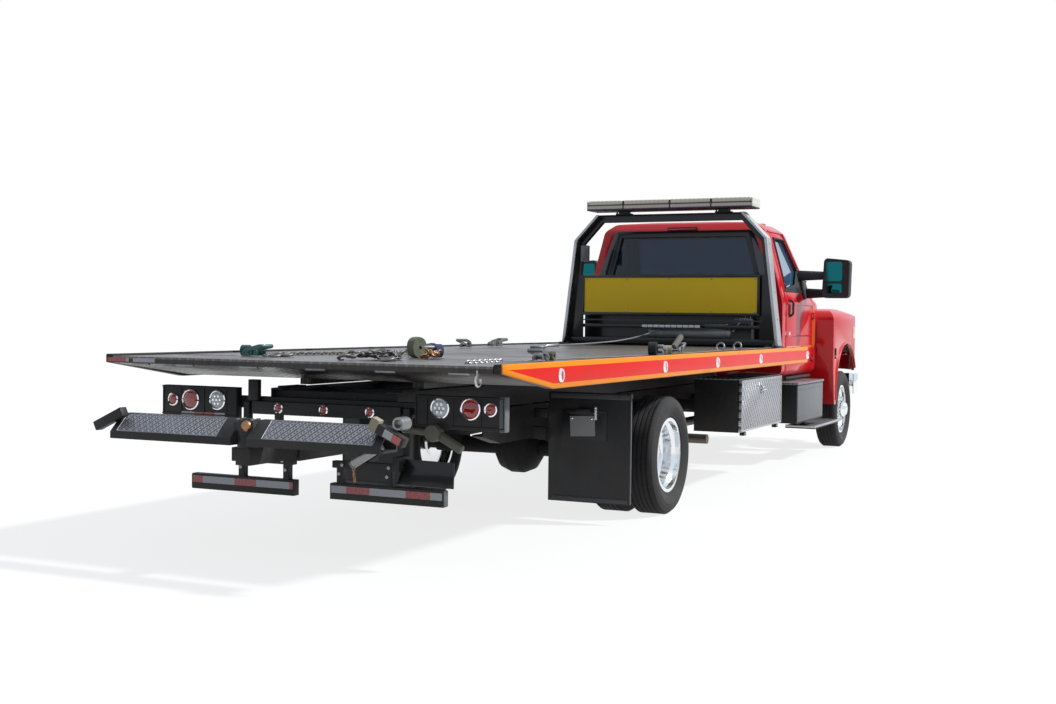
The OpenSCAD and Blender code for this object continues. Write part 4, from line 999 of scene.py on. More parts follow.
makeGuard()
makePlate()
print("guard, flaps and plate done")


# bed rails and tail edge

railSide = bedHigh.x
tailEnd = bedHigh.y
markers = {"A": -0.736, "B": -2.485, "C": -3.685, "D": -4.908, "E": -6.573}        # back from the tail end


def markerPart(outline, back, steps):
    # a turned part, drawn in along the rail to an oval, standing out of the rail's side
    shape = lathe(outline, (0, 0, 0), (1, 0, 0), steps)
    place = shifted(railSide - 0.0005, tailEnd + back, bedHigh.z - 0.078)
    return spread(shape, [place @ Matrix.Diagonal((1, 0.72, 1.0, 1))])


def makeRailMarkers():
    glass = [(0.0, 0.016), (0.014, 0.014), (0.024, 0.009), (0.028, 0.0), (0.0, 0.0)]
    bezel = [(0.027, 0.0), (0.027, 0.01), (0.031, 0.014), (0.037, 0.011), (0.041, 0.0), (0.027, 0.0)]
    for letter, back in markers.items():
        finish = "lampRed" if letter == "A" else "lampAmber"
        bothSides(markerPart(glass, back, 28), "marker" + letter + "Lens", "bed", finish)
        bothSides(markerPart(bezel, back, 32), "marker" + letter + "Bezel", "bed", "chrome")


def makeTailEdge():
    top = bedHigh.z
    tapes = [block((x, tailEnd - 0.0015, top - 0.044), (x + 0.16, tailEnd + 0.0015, top - 0.02), 0.0005, 1)
             for x in (0.93, 1.12)]
    dress(join(tapes), "tailTape", "bed", "tape")
    # hinge knuckles and stops of the approach plate along the rear edge
    knuckles = [drum((x, tailEnd - 0.012, top - 0.052), (x + 0.12, tailEnd - 0.012, top - 0.052), 0.009, 16,
                     0.001) for x in (-1.1, -0.66, -0.22, 0.22, 0.66, 0.98)]
    dress(join(knuckles), "tailKnuckles", "bed", "wornSteel")
    # stake pockets inside the rails
    pockets = [block((railSide - 0.062, tailEnd - back, top - 0.006),
                     (railSide - 0.012, tailEnd - back + 0.07, top + 0.0006), 0.002)
               for back in (1.2, 2.05, 2.9, 3.75, 4.6, 5.45, 6.3)]
    bothSides(join(pockets), "stakePockets", "bed", "frameBlack")


makeRailMarkers()
makeTailEdge()
print("rails and tail edge done")


# chains, straps and the winch line on the deck

def onDeck(x, back, lift):
    return (x, tailEnd + back, deckTop + lift)


def chainLink(pitch, wire):
    # a stretched ring, its long side along X
    bpy.ops.mesh.primitive_torus_add(major_radius=pitch * 0.5, minor_radius=wire, major_segments=14,
                                     minor_segments=6)
    link = bpy.context.object
    link.scale = (1.35, 0.85, 1)
    settle(link)
    return link


def alongPath(points, pitch):
    # evenly spaced places on a polyline, each with its direction
    spots = []
    spare = 0.0
    for a, b in zip(points, points[1:]):
        a, b = Vector(a), Vector(b)
        way = (b - a).normalized()
        distance = spare
        while distance < (b - a).length:
            spots.append((a + way * distance, way))
            distance += pitch
        spare = distance - (b - a).length
    return spots


def chainAlong(points, name, body, finish, pitch=0.03, wire=0.0055):
    link = chainLink(pitch, wire)
    matrices = []
    for i, (spot, way) in enumerate(alongPath(points, pitch)):
        roll = Matrix.Rotation(math.radians(38 if i % 2 else -52), 4, "X")
        turn = way.to_track_quat("X", "Z").to_matrix().to_4x4()
        matrices.append(Matrix.Translation(spot) @ turn @ roll)
    return dress(spread(link, matrices), name, body, finish, 60)


def chainPile(middle, spreadX, spreadY, count, name, finish, seed):
    # a wandering run that crosses over itself in low loops
    dice = random.Random(seed)
    points = []
    for i in range(count):
        angle = i * 1.9 + dice.uniform(-0.5, 0.5)
        reach = 0.35 + 0.65 * dice.random()
        lift = 0.012 + 0.026 * dice.random() + 0.03 * (1 - reach)
        points.append((middle[0] + spreadX * reach * math.cos(angle),
                       middle[1] + spreadY * reach * math.sin(angle), deckTop + lift))
    return chainAlong(points, name, "bed", finish)


def hookShape(scale=1.0):
    # shank, bend and point in the XY plane, the eye at the origin
    bend = [(0.055 + 0.036 * math.sin(a), 0.034 * math.cos(a))
            for a in (math.radians(d) for d in range(-5, 200, 25))]
    points = [(0.012, 0.002, 0.0), (0.03, 0.02, 0.0)] + [(x, y, 0.0) for x, y in bend]
    shank = tube([tuple(scale * c for c in point) for point in points], 0.0085 * scale, 3)
    eye = ring(0.013 * scale, 0.006 * scale, (0, 0, 0), (0, 0, 1), 20, 8)
    return join([shank, eye])


def layHooks(spots, name):
    matrices = [Matrix.Translation(onDeck(x, back, lift)) @ Matrix.Rotation(math.radians(turn), 4, "Z")
                @ Matrix.Rotation(math.radians(tilt), 4, "X") for x, back, lift, turn, tilt in spots]
    return dress(spread(hookShape(), matrices), name, "bed", "chainSteel", 60)


def strapAlong(points, name, finish):
    # flat webbing laid along the points
    width, thick = 0.05, 0.003
    points = [Vector(point) for point in points]
    left, right = [], []
    for i, point in enumerate(points):
        way = (points[min(i + 1, len(points) - 1)] - points[max(i - 1, 0)]).normalized()
        side = Vector((0, 0, 1)).cross(way).normalized() * (width / 2)
        left.append(point + side)
        right.append(point - side)
    mesh = bpy.data.meshes.new(name)
    count = len(points)
    faces = [(i, i + 1, count + i + 1, count + i) for i in range(count - 1)]
    mesh.from_pydata(left + right, [], faces)
    piece = bpy.data.objects.new(name, mesh)
    bpy.context.scene.collection.objects.link(piece)
    full = piece.modifiers.new("thickness", "SOLIDIFY")
    full.thickness = thick
    full.offset = 0
    fine = piece.modifiers.new("fine", "SUBSURF")
    fine.levels = fine.render_levels = 1
    applyModifiers(piece)
    return dress(piece, name, "bed", finish, 50)


def strapRoll(centre, axis, radius, width, turns, name, finish):
    # a wound bundle of webbing: a spiral band
    steps = 20 * turns
    core = 0.012
    outline = []
    for i in range(steps + 1):
        a = math.tau * turns * i / steps
        r = core + (radius - core) * i / steps
        outline.append((r * math.cos(a), 0.0, r * math.sin(a)))
    piece = chainOfPoints(outline)
    bpy.ops.mesh.select_all(action="SELECT")
    bpy.ops.mesh.extrude_edges_move(TRANSFORM_OT_translate={"value": (0, width, 0)})
    done()
    thick = piece.modifiers.new("thickness", "SOLIDIFY")
    thick.thickness = (radius - core) / turns * 0.7
    thick.offset = 0
    applyModifiers(piece)
    turn = Vector(axis).to_track_quat("Y", "Z").to_matrix().to_4x4()
    piece.data.transform(Matrix.Translation(centre) @ turn @ Matrix.Translation((0, -width / 2, 0)))
    return dress(piece, name, "bed", finish, 50)


def ratchet(centre, turn, name, finish):
    # side plates, spindle, toothed wheels and a folded handle with its grip
    parts = []
    for x in (-0.03, 0.026):
        parts.append(slab([(x, -0.075, 0.004), (x, 0.07, 0.004), (x, 0.078, 0.028), (x, 0.02, 0.05),
                           (x, -0.06, 0.042), (x, -0.085, 0.02)], (0.004, 0, 0), 0.001, 1))
    parts.append(drum((-0.036, 0.0, 0.024), (0.036, 0.0, 0.024), 0.014, 20, 0.001))
    parts.append(drum((-0.034, -0.062, 0.022), (0.034, -0.062, 0.022), 0.006, 12, 0.001))
    for x in (-0.036, 0.031):
        teeth = [(0.027 if i % 2 else 0.021, math.tau * i / 24) for i in range(24)]
        parts.append(slab([(x, r * math.cos(a), 0.028 + r * math.sin(a)) for r, a in teeth], (0.005, 0, 0),
                          0))
    for x in (-0.042, 0.038):
        parts.append(slab([(x, -0.01, 0.03), (x, 0.12, 0.05), (x, 0.13, 0.068), (x, 0.1, 0.074),
                           (x, -0.012, 0.052)], (0.004, 0, 0), 0.001, 1))
    parts.append(drum((-0.045, 0.115, 0.062), (0.045, 0.115, 0.062), 0.012, 16, 0.003))
    piece = join(parts)
    piece.data.transform(Matrix.Translation(centre) @ Matrix.Rotation(math.radians(turn), 4, "Z"))
    return dress(piece, name, "bed", finish, 40)


# places on the deck: across, from the tail end (negative is forward), above the plate
ratchets = {                    # place, turn, finish
    "ratchetLeft": ((0.62, -0.52, 0.002), 75, "tealSteel"),
    "ratchetA": ((0.2, -1.75, 0.003), 120, "wornSteel"),
    "ratchetB": ((-0.18, -1.1, 0.003), 60, "wornSteel"),
    "ratchetFarA": ((0.88, -3.75, 0.003), 10, "wornSteel"),
    "ratchetFarB": ((0.88, -4.3, 0.003), 170, "wornSteel"),
    "edgeRatchetA": ((-1.06, -0.98, 0.003), 8, "wornSteel"),
    "edgeRatchetB": ((-1.12, -2.9, 0.003), 5, "wornSteel"),
    "edgeRatchetC": ((-1.14, -3.2, 0.012), 190, "wornSteel"),
}
rolls = {                       # place, axis, radius, width, turns, finish
    "rollLeft": ((0.7, -0.55, 0.036), (1, 0.1, 0), 0.034, 0.05, 4, "tealStrap"),
    "rollA": ((0.13, -1.62, 0.062), (0.85, -0.5, 0), 0.06, 0.052, 6, "greyStrap"),
    "rollB": ((-0.24, -0.98, 0.066), (0.9, -0.2, 0), 0.064, 0.052, 6, "oliveStrap"),
    "rollC": ((-0.3, -1.12, 0.045), (0.5, 0.8, 0), 0.042, 0.05, 5, "blueStrap"),
    "edgeRollA": ((-1.05, -1.14, 0.03), (1, 0, 0), 0.028, 0.05, 4, "oliveStrap"),
    "edgeRollB": ((-1.11, -2.76, 0.05), (1, 0.15, 0), 0.048, 0.055, 5, "blackStrap"),
    "edgeRollC": ((-1.13, -3.02, 0.036), (0.9, 0.3, 0), 0.034, 0.05, 4, "creamStrap"),
}
straps = {"strapLeft": ("greyStrap", [(0.73, -0.54, 0.005), (0.86, -0.5, 0.004), (1.0, -0.47, 0.005),
                                      (1.17, -0.45, 0.004)]),
          "edgeStrapA": ("creamStrap", [(-0.955, -0.68, 0.006), (-0.99, -0.8, 0.004), (-1.02, -0.95, 0.004),
                                        (-1.05, -1.05, 0.012)]),
          "edgeStrapB": ("creamStrap", [(-1.0, -1.22, 0.01), (-0.99, -1.5, 0.004), (-1.03, -1.9, 0.004),
                                        (-1.07, -2.35, 0.004), (-1.09, -2.7, 0.006)]),
          "edgeStrapC": ("creamStrap", [(-1.13, -3.3, 0.006), (-1.09, -3.7, 0.004), (-1.05, -4.3, 0.004),
                                        (-1.03, -5.0, 0.004), (-1.05, -5.8, 0.004), (-1.05, -6.3, 0.006)]), }
chains = {"deckChain": ("chainSteel", [(0.6, -0.6, 0.008), (0.67, -0.8, 0.008), (0.56, -1.02, 0.008),
                                       (0.46, -1.28, 0.008), (0.36, -1.55, 0.008), (0.24, -1.58, 0.008),
                                       (0.1, -1.35, 0.008), (-0.12, -0.85, 0.008)]),
          "edgeChain": ("steelBright", [(-0.94, -0.3, 0.008), (-0.95, -0.48, 0.008), (-0.955, -0.68, 0.008)]),
          }
piles = {                       # across, from the tail end, reach across and along, corners, finish, seed
    "chainPile": (-0.28, -0.5, 0.13, 0.16, 26, "chainSteel", 3),
    "copperChain": (-0.42, -0.86, 0.07, 0.1, 10, "brassy", 8),
}
hooks = {                       # place, turn, tilt
    "hooksLeft": [(0.52, -0.5, 0.01, 190, 8), (0.58, -0.68, 0.01, 250, -6), (0.47, -0.62, 0.012, 140, 5)],
    "hooksPile": [(-0.4, -0.32, 0.014, 150, 12), (-0.22, -0.3, 0.02, 60, 20), (-0.14, -0.5, 0.03, 20, -25),
                  (-0.34, -0.62, 0.035, 110, 35)],
}


def makeDeckGear():
    for name, (place, turn, finish) in ratchets.items():
        ratchet(onDeck(*place), turn, name, finish)
    for name, (place, axis, radius, width, turns, finish) in rolls.items():
        strapRoll(onDeck(*place), axis, radius, width, turns, name, finish)
    for name, (finish, places) in straps.items():
        strapAlong([onDeck(*place) for place in places], name, finish)
    for name, (finish, places) in chains.items():
        chainAlong([onDeck(*place) for place in places], name, "bed", finish)
    for name, spots in hooks.items():
        layHooks(spots, name)
    for name, (across, back, reachX, reachY, count, finish, seed) in piles.items():
        chainPile((across, tailEnd + back), reachX, reachY, count, name, finish, seed)
    handle = tube([onDeck(-1.13, -3.14, 0.05), onDeck(-1.12, -3.26, 0.09), onDeck(-1.11, -3.36, 0.125)],
                  0.022)
    dress(handle, "edgeHandle", "bed", "greyStrap")
    for letter, back in (("A", -4.6), ("B", -5.1)):
        loop = ring(0.035, 0.007, onDeck(-1.04, back, 0.032), (0.2, 1, 0.3), 24, 8)
        dress(loop, "edgeRing" + letter, "bed", "ropeSteel")
    # small hook that hangs under the rail's tail end
    hook = hookShape(0.8)
    hook.data.transform(Matrix.Translation((-1.149, tailEnd - 0.012, deckTop - 0.03))
                        @ Matrix.Rotation(math.radians(90), 4, "Y"))
    dress(hook, "tailHook", "bed", "steelBright", 60)


def makeWinchLine():
    drumLow, drumHigh, drumMiddle = sides("winch_drum")
    start = (0.08, drumMiddle.y + 0.055, drumMiddle.z + 0.035)
    rest = (0.24, tailEnd - 4.2, deckTop + 0.03)
    line = tube([start, (0.14, drumMiddle.y + 0.9, deckTop + 0.07), (0.2, drumMiddle.y + 1.5, deckTop + 0.04),
                 rest], 0.0065, 3)
    dress(line, "winchLine", "bed", "ropeSteel")
    sleeve = drum(rest, (0.26, tailEnd - 4.0, deckTop + 0.026), 0.013, 16, 0.003)
    thimble = ring(0.022, 0.006, (0.262, tailEnd - 3.975, deckTop + 0.026), (0, 0, 1), 20, 8)
    dress(join([sleeve, thimble]), "winchSleeve", "bed", "steelBright")
    hook = hookShape(1.5)
    hook.data.transform(Matrix.Translation((0.265, tailEnd - 3.95, deckTop + 0.016))
                        @ Matrix.Rotation(math.radians(80), 4, "Z"))
    dress(hook, "winchHook", "bed", "chainSteel", 60)
    # rope wound on the drum
    wraps = []
    low, high = drumLow.x + 0.05, drumHigh.x - 0.05
    count = 44
    for layer, radius in enumerate((0.064, 0.074)):
        for i in range(count - layer):
            x = low + (high - low) * (i + 0.5 + 0.5 * layer) / count
            wraps.append(Matrix.Translation((x, drumMiddle.y, drumMiddle.z))
                         @ Matrix.Diagonal((1, radius, radius, 1)))
    wrap = ring(1.0, 0.1, (0, 0, 0), (1, 0, 0), 28, 6)
    dress(spread(wrap, wraps), "winchWraps", "drum", "ropeSteel", 60)


makeDeckGear()
makeWinchLine()
print("deck gear done")


# headboard, winch and light bar

def makeHeadboard():
    low, high, middle = sides("headboard")
    face = middle.y + 0.02
    sign = block((-0.88, face, 1.45), (0.88, face + 0.006, 1.79), 0.002)
    dress(sign, "signPanel", "bed", "signGold")
    frameBars = [block((x0, face, z0), (x1, face + 0.012, z1), 0.003)
                 for x0, z0, x1, z1 in ((-0.905, 1.79, 0.905, 1.815), (-0.905, 1.425, 0.905, 1.45),
                                        (-0.905, 1.45, -0.88, 1.79), (0.88, 1.45, 0.905, 1.79))]
    dress(join(frameBars), "signFrame", "bed", "glossBlack")
    spots = [(x, face + 0.004, z) for x in (-0.86, -0.43, 0.0, 0.43, 0.86) for z in (1.465, 1.775)]
    dress(studs(spots, (0, 0.007, 0), 0.009, 8), "signBolts", "bed", "wornSteel")
    # work light on the lower crosspiece
    case = block((-0.34, face, 1.3), (0.268, face + 0.03, 1.338), 0.005)
    dress(case, "workLightCase", "bed", "blackPlastic")
    glow = [block((-0.33 + i * 0.0595, face + 0.028, 1.307), (-0.276 + i * 0.0595, face + 0.034, 1.331),
                  0.003) for i in range(10)]
    dress(join(glow), "workLightLens", "bed", "lampClear")
    # grey bracket on the left post
    bracket = join([block((0.83, face, 1.95), (0.91, face + 0.05, 2.11), 0.006),
                    block((0.85, face + 0.048, 1.98), (0.89, face + 0.07, 2.08), 0.006)])
    dress(bracket, "postBracket", "bed", "stepGrey")
    # feet with gussets at each post
    plate = block((0.99, low.y - 0.03, low.z + 0.0005), (1.11, high.y + 0.09, low.z + 0.014), 0.003)
    gusset = slab([(1.056, high.y - 0.07, low.z + 0.012), (1.056, high.y + 0.07, low.z + 0.012),
                   (1.056, high.y - 0.07, low.z + 0.16)], (0.012, 0, 0), 0.002)
    spots = [(x, y, low.z + 0.012) for x in (1.01, 1.09) for y in (high.y + 0.03, high.y + 0.07)]
    bothSides(join([plate, gusset, studs(spots, (0, 0, 0.012), 0.011)]), "postFoot", "bed", "glossBlack")
    # black sheets beside the sign and low down behind the winch: painted shade, standing where the cab's back
    # lies in shade
    for side, turn in (("Left", 1), ("Right", -1)):
        corners = [(0.9, 1.2), (1.035, 1.2), (1.0, 1.82), (0.9, 1.82)]
        if turn < 0:
            corners = [(-1.035, 1.2), (-0.9, 1.2), (-0.9, 1.82), (-1.0, 1.82)]
        shadeSheet = slab([(x, middle.y - 0.004, z) for x, z in corners], (0, 0.006, 0), 0.001)
        dress(shadeSheet, "boardShadeSheet" + side, "bed", "glossBlack")
    # the low screen is painted shade: a black sheet filling the shaded gap between the deck and the sign
    shadeScreen = block((-0.99, bedLow.y + 0.022, deckTop + 0.004), (0.99, bedLow.y + 0.026, 1.5), 0.001, 1)
    lipTop = block((-0.99, bedLow.y + 0.016, 1.485), (0.99, bedLow.y + 0.034, 1.5), 0.003)
    dress(join([shadeScreen, lipTop]), "lowShadeScreen", "bed", "glossBlack")

    # pale strip on each post's outer face, with its rivets
    bottom, bend, top = (1.0965, deckTop + 0.02), (0.975, 2.158), (0.741, 2.408)
    strip = []
    for (x, z), (x2, z2), out in ((bottom, bend, (0.004, 0, 0.0005)), (bend, top, (0.003, 0, 0.003))):
        outline = [(x, low.y + 0.004, z), (x, high.y + 0.002, z), (x2, high.y + 0.002, z2),
                   (x2, low.y + 0.004, z2)]
        strip.append(slab(outline, out, 0.001, 1))
        outline = [(x + 0.003, high.y - 0.001, z), (x - 0.026, high.y - 0.001, z),
                   (x2 - 0.026, high.y - 0.001, z2), (x2 + 0.003, high.y - 0.001, z2)]
        strip.append(slab(outline, (0, 0.005, 0), 0.001, 1))
    for t in (0.05, 0.25, 0.5, 0.75, 0.95):
        x, z = bottom[0] + (bend[0] - bottom[0]) * t, bottom[1] + (bend[1] - bottom[1]) * t
        strip.append(drum((x + 0.003, middle.y, z), (x + 0.009, middle.y, z), 0.008, 10, 0.001))
    bothSides(join(strip), "postStrip", "bed", "stripAlloy")
    # rung above the lower crosspiece
    rung = block((-0.93, middle.y - 0.006, 1.37), (0.93, middle.y + 0.006, 1.382), 0)
    dress(rung, "headboardRung", "bed", "glossBlack")


def makeWinch():
    middle = middleOf("winch")
    motor = drum((-0.79, middle.y, 1.355), (-0.61, middle.y, 1.355), 0.045, 32, 0.006)
    fins = studs([(-0.77 + i * 0.025, middle.y, 1.355) for i in range(5)], (0.006, 0, 0), 0.052, 32)
    dress(join([motor, fins]), "winchMotor", "bed", "blueSteel")
    lid = block((-0.795, middle.y - 0.066, 1.311), (-0.605, middle.y + 0.066, 1.322), 0.006)
    dress(lid, "winchLid", "bed", "blueSteel")
    spots = [(x, middle.y + y, 1.318) for x in (-0.78, -0.7, -0.62) for y in (-0.055, 0.055)]
    dress(studs(spots, (0, 0, 0.01), 0.008), "winchBolts", "bed", "wornSteel")
    lever = join([drum((-0.63, middle.y + 0.065, 1.28), (-0.63, middle.y + 0.1, 1.28), 0.009, 12, 0.002),
                  drum((-0.63, middle.y + 0.095, 1.28), (-0.69, middle.y + 0.1, 1.36), 0.006, 12, 0.002)])
    dress(lever, "winchLever", "bed", "wornSteel")
    # roller that keeps the rope on the drum
    roller = drum((-0.5, middle.y + 0.098, 1.18), (0.16, middle.y + 0.098, 1.18), 0.014, 24, 0.002)
    dress(roller, "winchRoller", "bed", "wornSteel")
    hoses = [tube([(-0.76 + i * 0.05, middle.y - 0.02, 1.395), (-0.76 + i * 0.05, middle.y - 0.05, 1.45),
                   (-0.86, middle.y - 0.06, 1.4), (-0.9, middle.y - 0.07, 1.2),
                   (-0.9, middle.y - 0.075, 1.135)], 0.009) for i in range(2)]
    dress(join(hoses), "winchHoses", "bed", "blackPlastic")


def makeLightBar():
    low, high, middle = sides("light_bar")
    splits = [0.456, -0.021, -0.434]
    base = 2.448                # underside of the tray
    depth = 0.138               # half the bar's depth
    edges = [high.x - 0.012] + splits + [low.x + 0.012]

    def across(x0, x1, inset, z0, z1, bevel, segments=2):
        # a block from the front of the bar to its back, drawn in by the inset
        return block((x0, middle.y - depth + inset, z0), (x1, middle.y + depth - inset, z1), bevel, segments)

    for i, (right, left) in enumerate(zip(edges, edges[1:])):
        upper = across(left + 0.006, right - 0.006, 0, base + 0.052, high.z - 0.001, 0.014, 3)
        dress(upper, "barUpper" + "ABCD"[i], "bed", "lensCream")
        lower = across(left + 0.004, right - 0.004, 0, base + 0.012, base + 0.049, 0.008, 3)
        dress(lower, "barLower" + "ABCD"[i], "bed", "lensPink")
    tray = [across(low.x + 0.004, high.x - 0.004, -0.001, base, base + 0.014, 0.004),
            across(low.x + 0.006, high.x - 0.006, 0.002, base + 0.046, base + 0.056, 0.001, 1)]
    tray += [across(x - 0.007, x + 0.007, 0.001, base + 0.012, high.z - 0.006, 0.002) for x in splits]
    dress(join(tray), "barTray", "bed", "blackPlastic")
    caps = [across(x, x + 0.016, 0.004, base + 0.01, high.z - 0.004, 0.006, 3)
            for x in (low.x, high.x - 0.016)]
    dress(join(caps), "barEnds", "bed", "lensCream")
    feet = []
    for x in (0.49, -0.524):
        feet.append(block((x - 0.08, middle.y - 0.04, 2.412), (x + 0.08, middle.y + 0.04, 2.424), 0.003))
        feet.append(block((x - 0.05, middle.y - 0.035, 2.42), (x + 0.05, middle.y + 0.035, base + 0.002),
                          0.004))
        feet.append(studs([(x + s, middle.y + 0.03, 2.42) for s in (-0.066, 0.066)], (0, 0, 0.016), 0.008))
    dress(join(feet), "barFeet", "bed", "blackPlastic")
    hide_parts("light_bar")


makeHeadboard()
makeWinch()
makeLightBar()
print("headboard, winch and light bar done")


# cab outside

shellLow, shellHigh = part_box("cab_shell")
cab = {
    "half": 1.02, "belt": 1.56, "roofHalf": 0.83, "roofEdge": 2.27, "doorFace": 1.0195,
    "back": shellHigh.y, "slopeStart": (-3.40, 1.60), "slope": 0.865,
    "sill": 1.70, "windowTop": 2.2, "windowRear": -2.315, "pillar": 0.18,
}
sideFace = 1.199                # outer face of the step boxes and tool boxes


def cabSide(z):
    # how far out the cab's side is at a height
    lean = (cab["half"] - cab["roofHalf"]) / (cab["roofEdge"] - cab["belt"])
    return cab["half"] - max(0.0, z - cab["belt"]) * lean


def screenLine(z, back=0.0):
    return cab["slopeStart"][0] + (z - cab["slopeStart"][1]) * cab["slope"] + back


def onSide(y, z, out=0.0):
    return (cabSide(z) + out, y, z)


def flattened(piece, axis, factor, about):
    scale = Matrix.Translation(about) @ Matrix.Scale(factor, 4, axis) @ Matrix.Translation(-Vector(about))
    piece.data.transform(scale)
    return piece


def makeWindowSeals():
    outline = [onSide(cab["windowRear"], cab["sill"]), onSide(cab["windowRear"], cab["windowTop"]),
               onSide(screenLine(cab["windowTop"], cab["pillar"]), cab["windowTop"]),
               onSide(screenLine(cab["sill"], cab["pillar"]), cab["sill"])]
    bothSides(tube(outline, 0.013, 2, smooth=False, closed=True), "windowSeal", "cab_door", "blackPlastic")
    rear = [(-0.815, 1.625), (-0.665, 2.235), (0.665, 2.235), (0.815, 1.625)]
    band = tube([(x, cab["back"], z) for x, z in rear], 0.042, 2, smooth=False, closed=True)
    dress(flattened(band, (0, 1, 0), 0.16, (0, cab["back"], 0)), "rearWindowSeal", "truck", "glossBlack")

    outline = [(0.79, 1.6), (0.94, 1.6), (0.905, 1.78), (0.72, 2.26), (0.655, 2.26)]
    cornerPanel = slab([(x, cab["back"] - 0.001, z) for x, z in outline], (0, 0.004, 0), 0.0015)
    bothSides(cornerPanel, "rearCornerPanel", "truck", "rearTint")
    front = [(-0.905, 1.66), (-0.755, 2.25), (0.755, 2.25), (0.905, 1.66)]
    trim = tube([(x, screenLine(z) + 0.002, z) for x, z in front], 0.024, 3, smooth=False, closed=True)
    dress(trim, "windscreenSeal", "truck", "blackPlastic")


def makeDoorTrim():
    face = cab["doorFace"]
    beltStrip = block((face, -3.31, 1.545), (face + 0.007, -2.25, 1.572), 0.003)
    bothSides(beltStrip, "beltStrip", "cab_door", "redPaint")

    outline = [onSide(-2.27, 1.672, 0.001), onSide(-2.27, 1.698, 0.001), onSide(-3.14, 1.698, 0.001),
               onSide(-3.16, 1.672, 0.001)]
    bothSides(slab(outline, (0.006, 0, 0), 0.002), "glassStrip", "cab_door", "blackPlastic")

    grip = tube([(face + 0.0025, -2.35, 1.43), (face + 0.0325, -2.35, 1.45), (face + 0.0365, -2.35, 1.51),
                 (face + 0.0325, -2.35, 1.57), (face + 0.0025, -2.35, 1.59)], 0.011, 3)
    cup = block((face, -2.385, 1.42), (face + 0.0065, -2.315, 1.60), 0.003)
    bothSides(join([grip, cup]), "doorHandle", "cab_door", "blackPlastic")

    lock = lathe([(0.0, 0.012), (0.013, 0.01), (0.016, 0.006), (0.02, 0.0), (0.0, 0.0)], (face, -2.36, 1.26),
                 (1, 0, 0), 24)
    bothSides(lock, "doorLock", "cab_door", "chrome")

    stripe = block((face, -3.312, 1.112), (face + 0.0017, -2.248, 1.134), 0.0005, 1)
    bothSides(stripe, "doorStripe", "cab_door", "stripeYellow")

    upright = [block((face, y, 1.112), (face + 0.0017, y + wide, 1.56), 0.0005, 1)
               for y, wide in ((-3.36, 0.02), (-3.4, 0.012), (-3.44, 0.02))]
    foot = block((face, -3.44, 1.112), (face + 0.0017, -3.335, 1.13), 0.0005, 1)
    bothSides(join(upright + [foot]), "cowlStripes", "truck", "stripeYellow")

    bodyLine = tube([(face - 0.0005, y, 1.235) for y in (-3.3, -3.0, -2.6, -2.26)], 0.008, 2)
    bothSides(bodyLine, "doorBodyLine", "cab_door", "redPaint")

    points = [onSide(cab["back"] - 0.10, 2.262, 0.003), onSide(screenLine(2.262, 0.09), 2.262, 0.003),
              onSide(screenLine(1.75, 0.075), 1.75, 0.003)]
    bothSides(tube(points, 0.007, 2, smooth=False), "dripRail", "truck", "redPaint")

    stepPad = block((0.985, -3.28, shellLow.z - 0.012), (1.018, -2.28, shellLow.z + 0.012), 0.004)
    bothSides(stepPad, "rockerTrim", "truck", "blackPlastic")


def makeCabBack():
    lamp = block((-0.155, cab["back"] - 0.02, 2.272), (0.155, cab["back"] + 0.014, 2.305), 0.005)
    dress(lamp, "brakeLampCase", "truck", "blackPlastic")
    glow = block((-0.14, cab["back"] + 0.011, 2.278), (0.14, cab["back"] + 0.018, 2.299), 0.003)
    dress(glow, "brakeLampLens", "truck", "lampRed")
    vents = [block((x - 0.05, cab["back"] - 0.002, z), (x + 0.05, cab["back"] + 0.004, z + 0.008), 0.001, 1)
             for x in (-0.9, 0.9) for z in [1.15 + i * 0.016 for i in range(6)]]
    dress(join(vents), "cabVents", "truck", "blackPlastic")
    seams = [tube([(x, cab["back"] + 0.001, 0.99), (x, cab["back"] + 0.001, 1.56),
                   (x * 0.96, cab["back"] + 0.001, 1.72)], 0.004, 2, smooth=False) for x in (-0.945, 0.945)]
    dress(join(seams), "cabSeams", "truck", "redPaint")


def makeRoofLamps():
    front = screenLine(2.34) + 0.02
    for i, x in enumerate((-0.62, -0.22, 0.0, 0.22, 0.62)):
        z = 2.352 - abs(x) * 0.022
        base = block((x - 0.062, front - 0.01, z - 0.004), (x + 0.062, front + 0.07, z + 0.012), 0.005)
        cover = block((x - 0.05, front, z + 0.008), (x + 0.05, front + 0.055, z + 0.034), 0.012, 3)
        dress(base, "roofLampBase" + "ABCDE"[i], "truck", "blackPlastic")
        dress(cover, "roofLamp" + "ABCDE"[i], "truck", "lampAmber")


def makeWipers():
    for side, x in (("Left", 0.52), ("Right", -0.28)):
        pivot = Vector((x, screenLine(1.62) - 0.03, 1.625))
        tip = Vector((x - 0.42, screenLine(1.76) - 0.03, 1.76))
        arm = tube([pivot, pivot.lerp(tip, 0.5) + Vector((0, -0.012, 0.0)), tip], 0.006, 2)
        boss = drum(pivot + Vector((0, 0.012, -0.02)), pivot + Vector((0, -0.012, 0.012)), 0.016, 20, 0.003)
        blade = tube([tip + Vector((0.26, 0, -0.045)), tip, tip + Vector((-0.26, 0, 0.04))], 0.008, 2)
        dress(join([arm, boss, blade]), "wiper" + side, "truck", "blackPlastic")


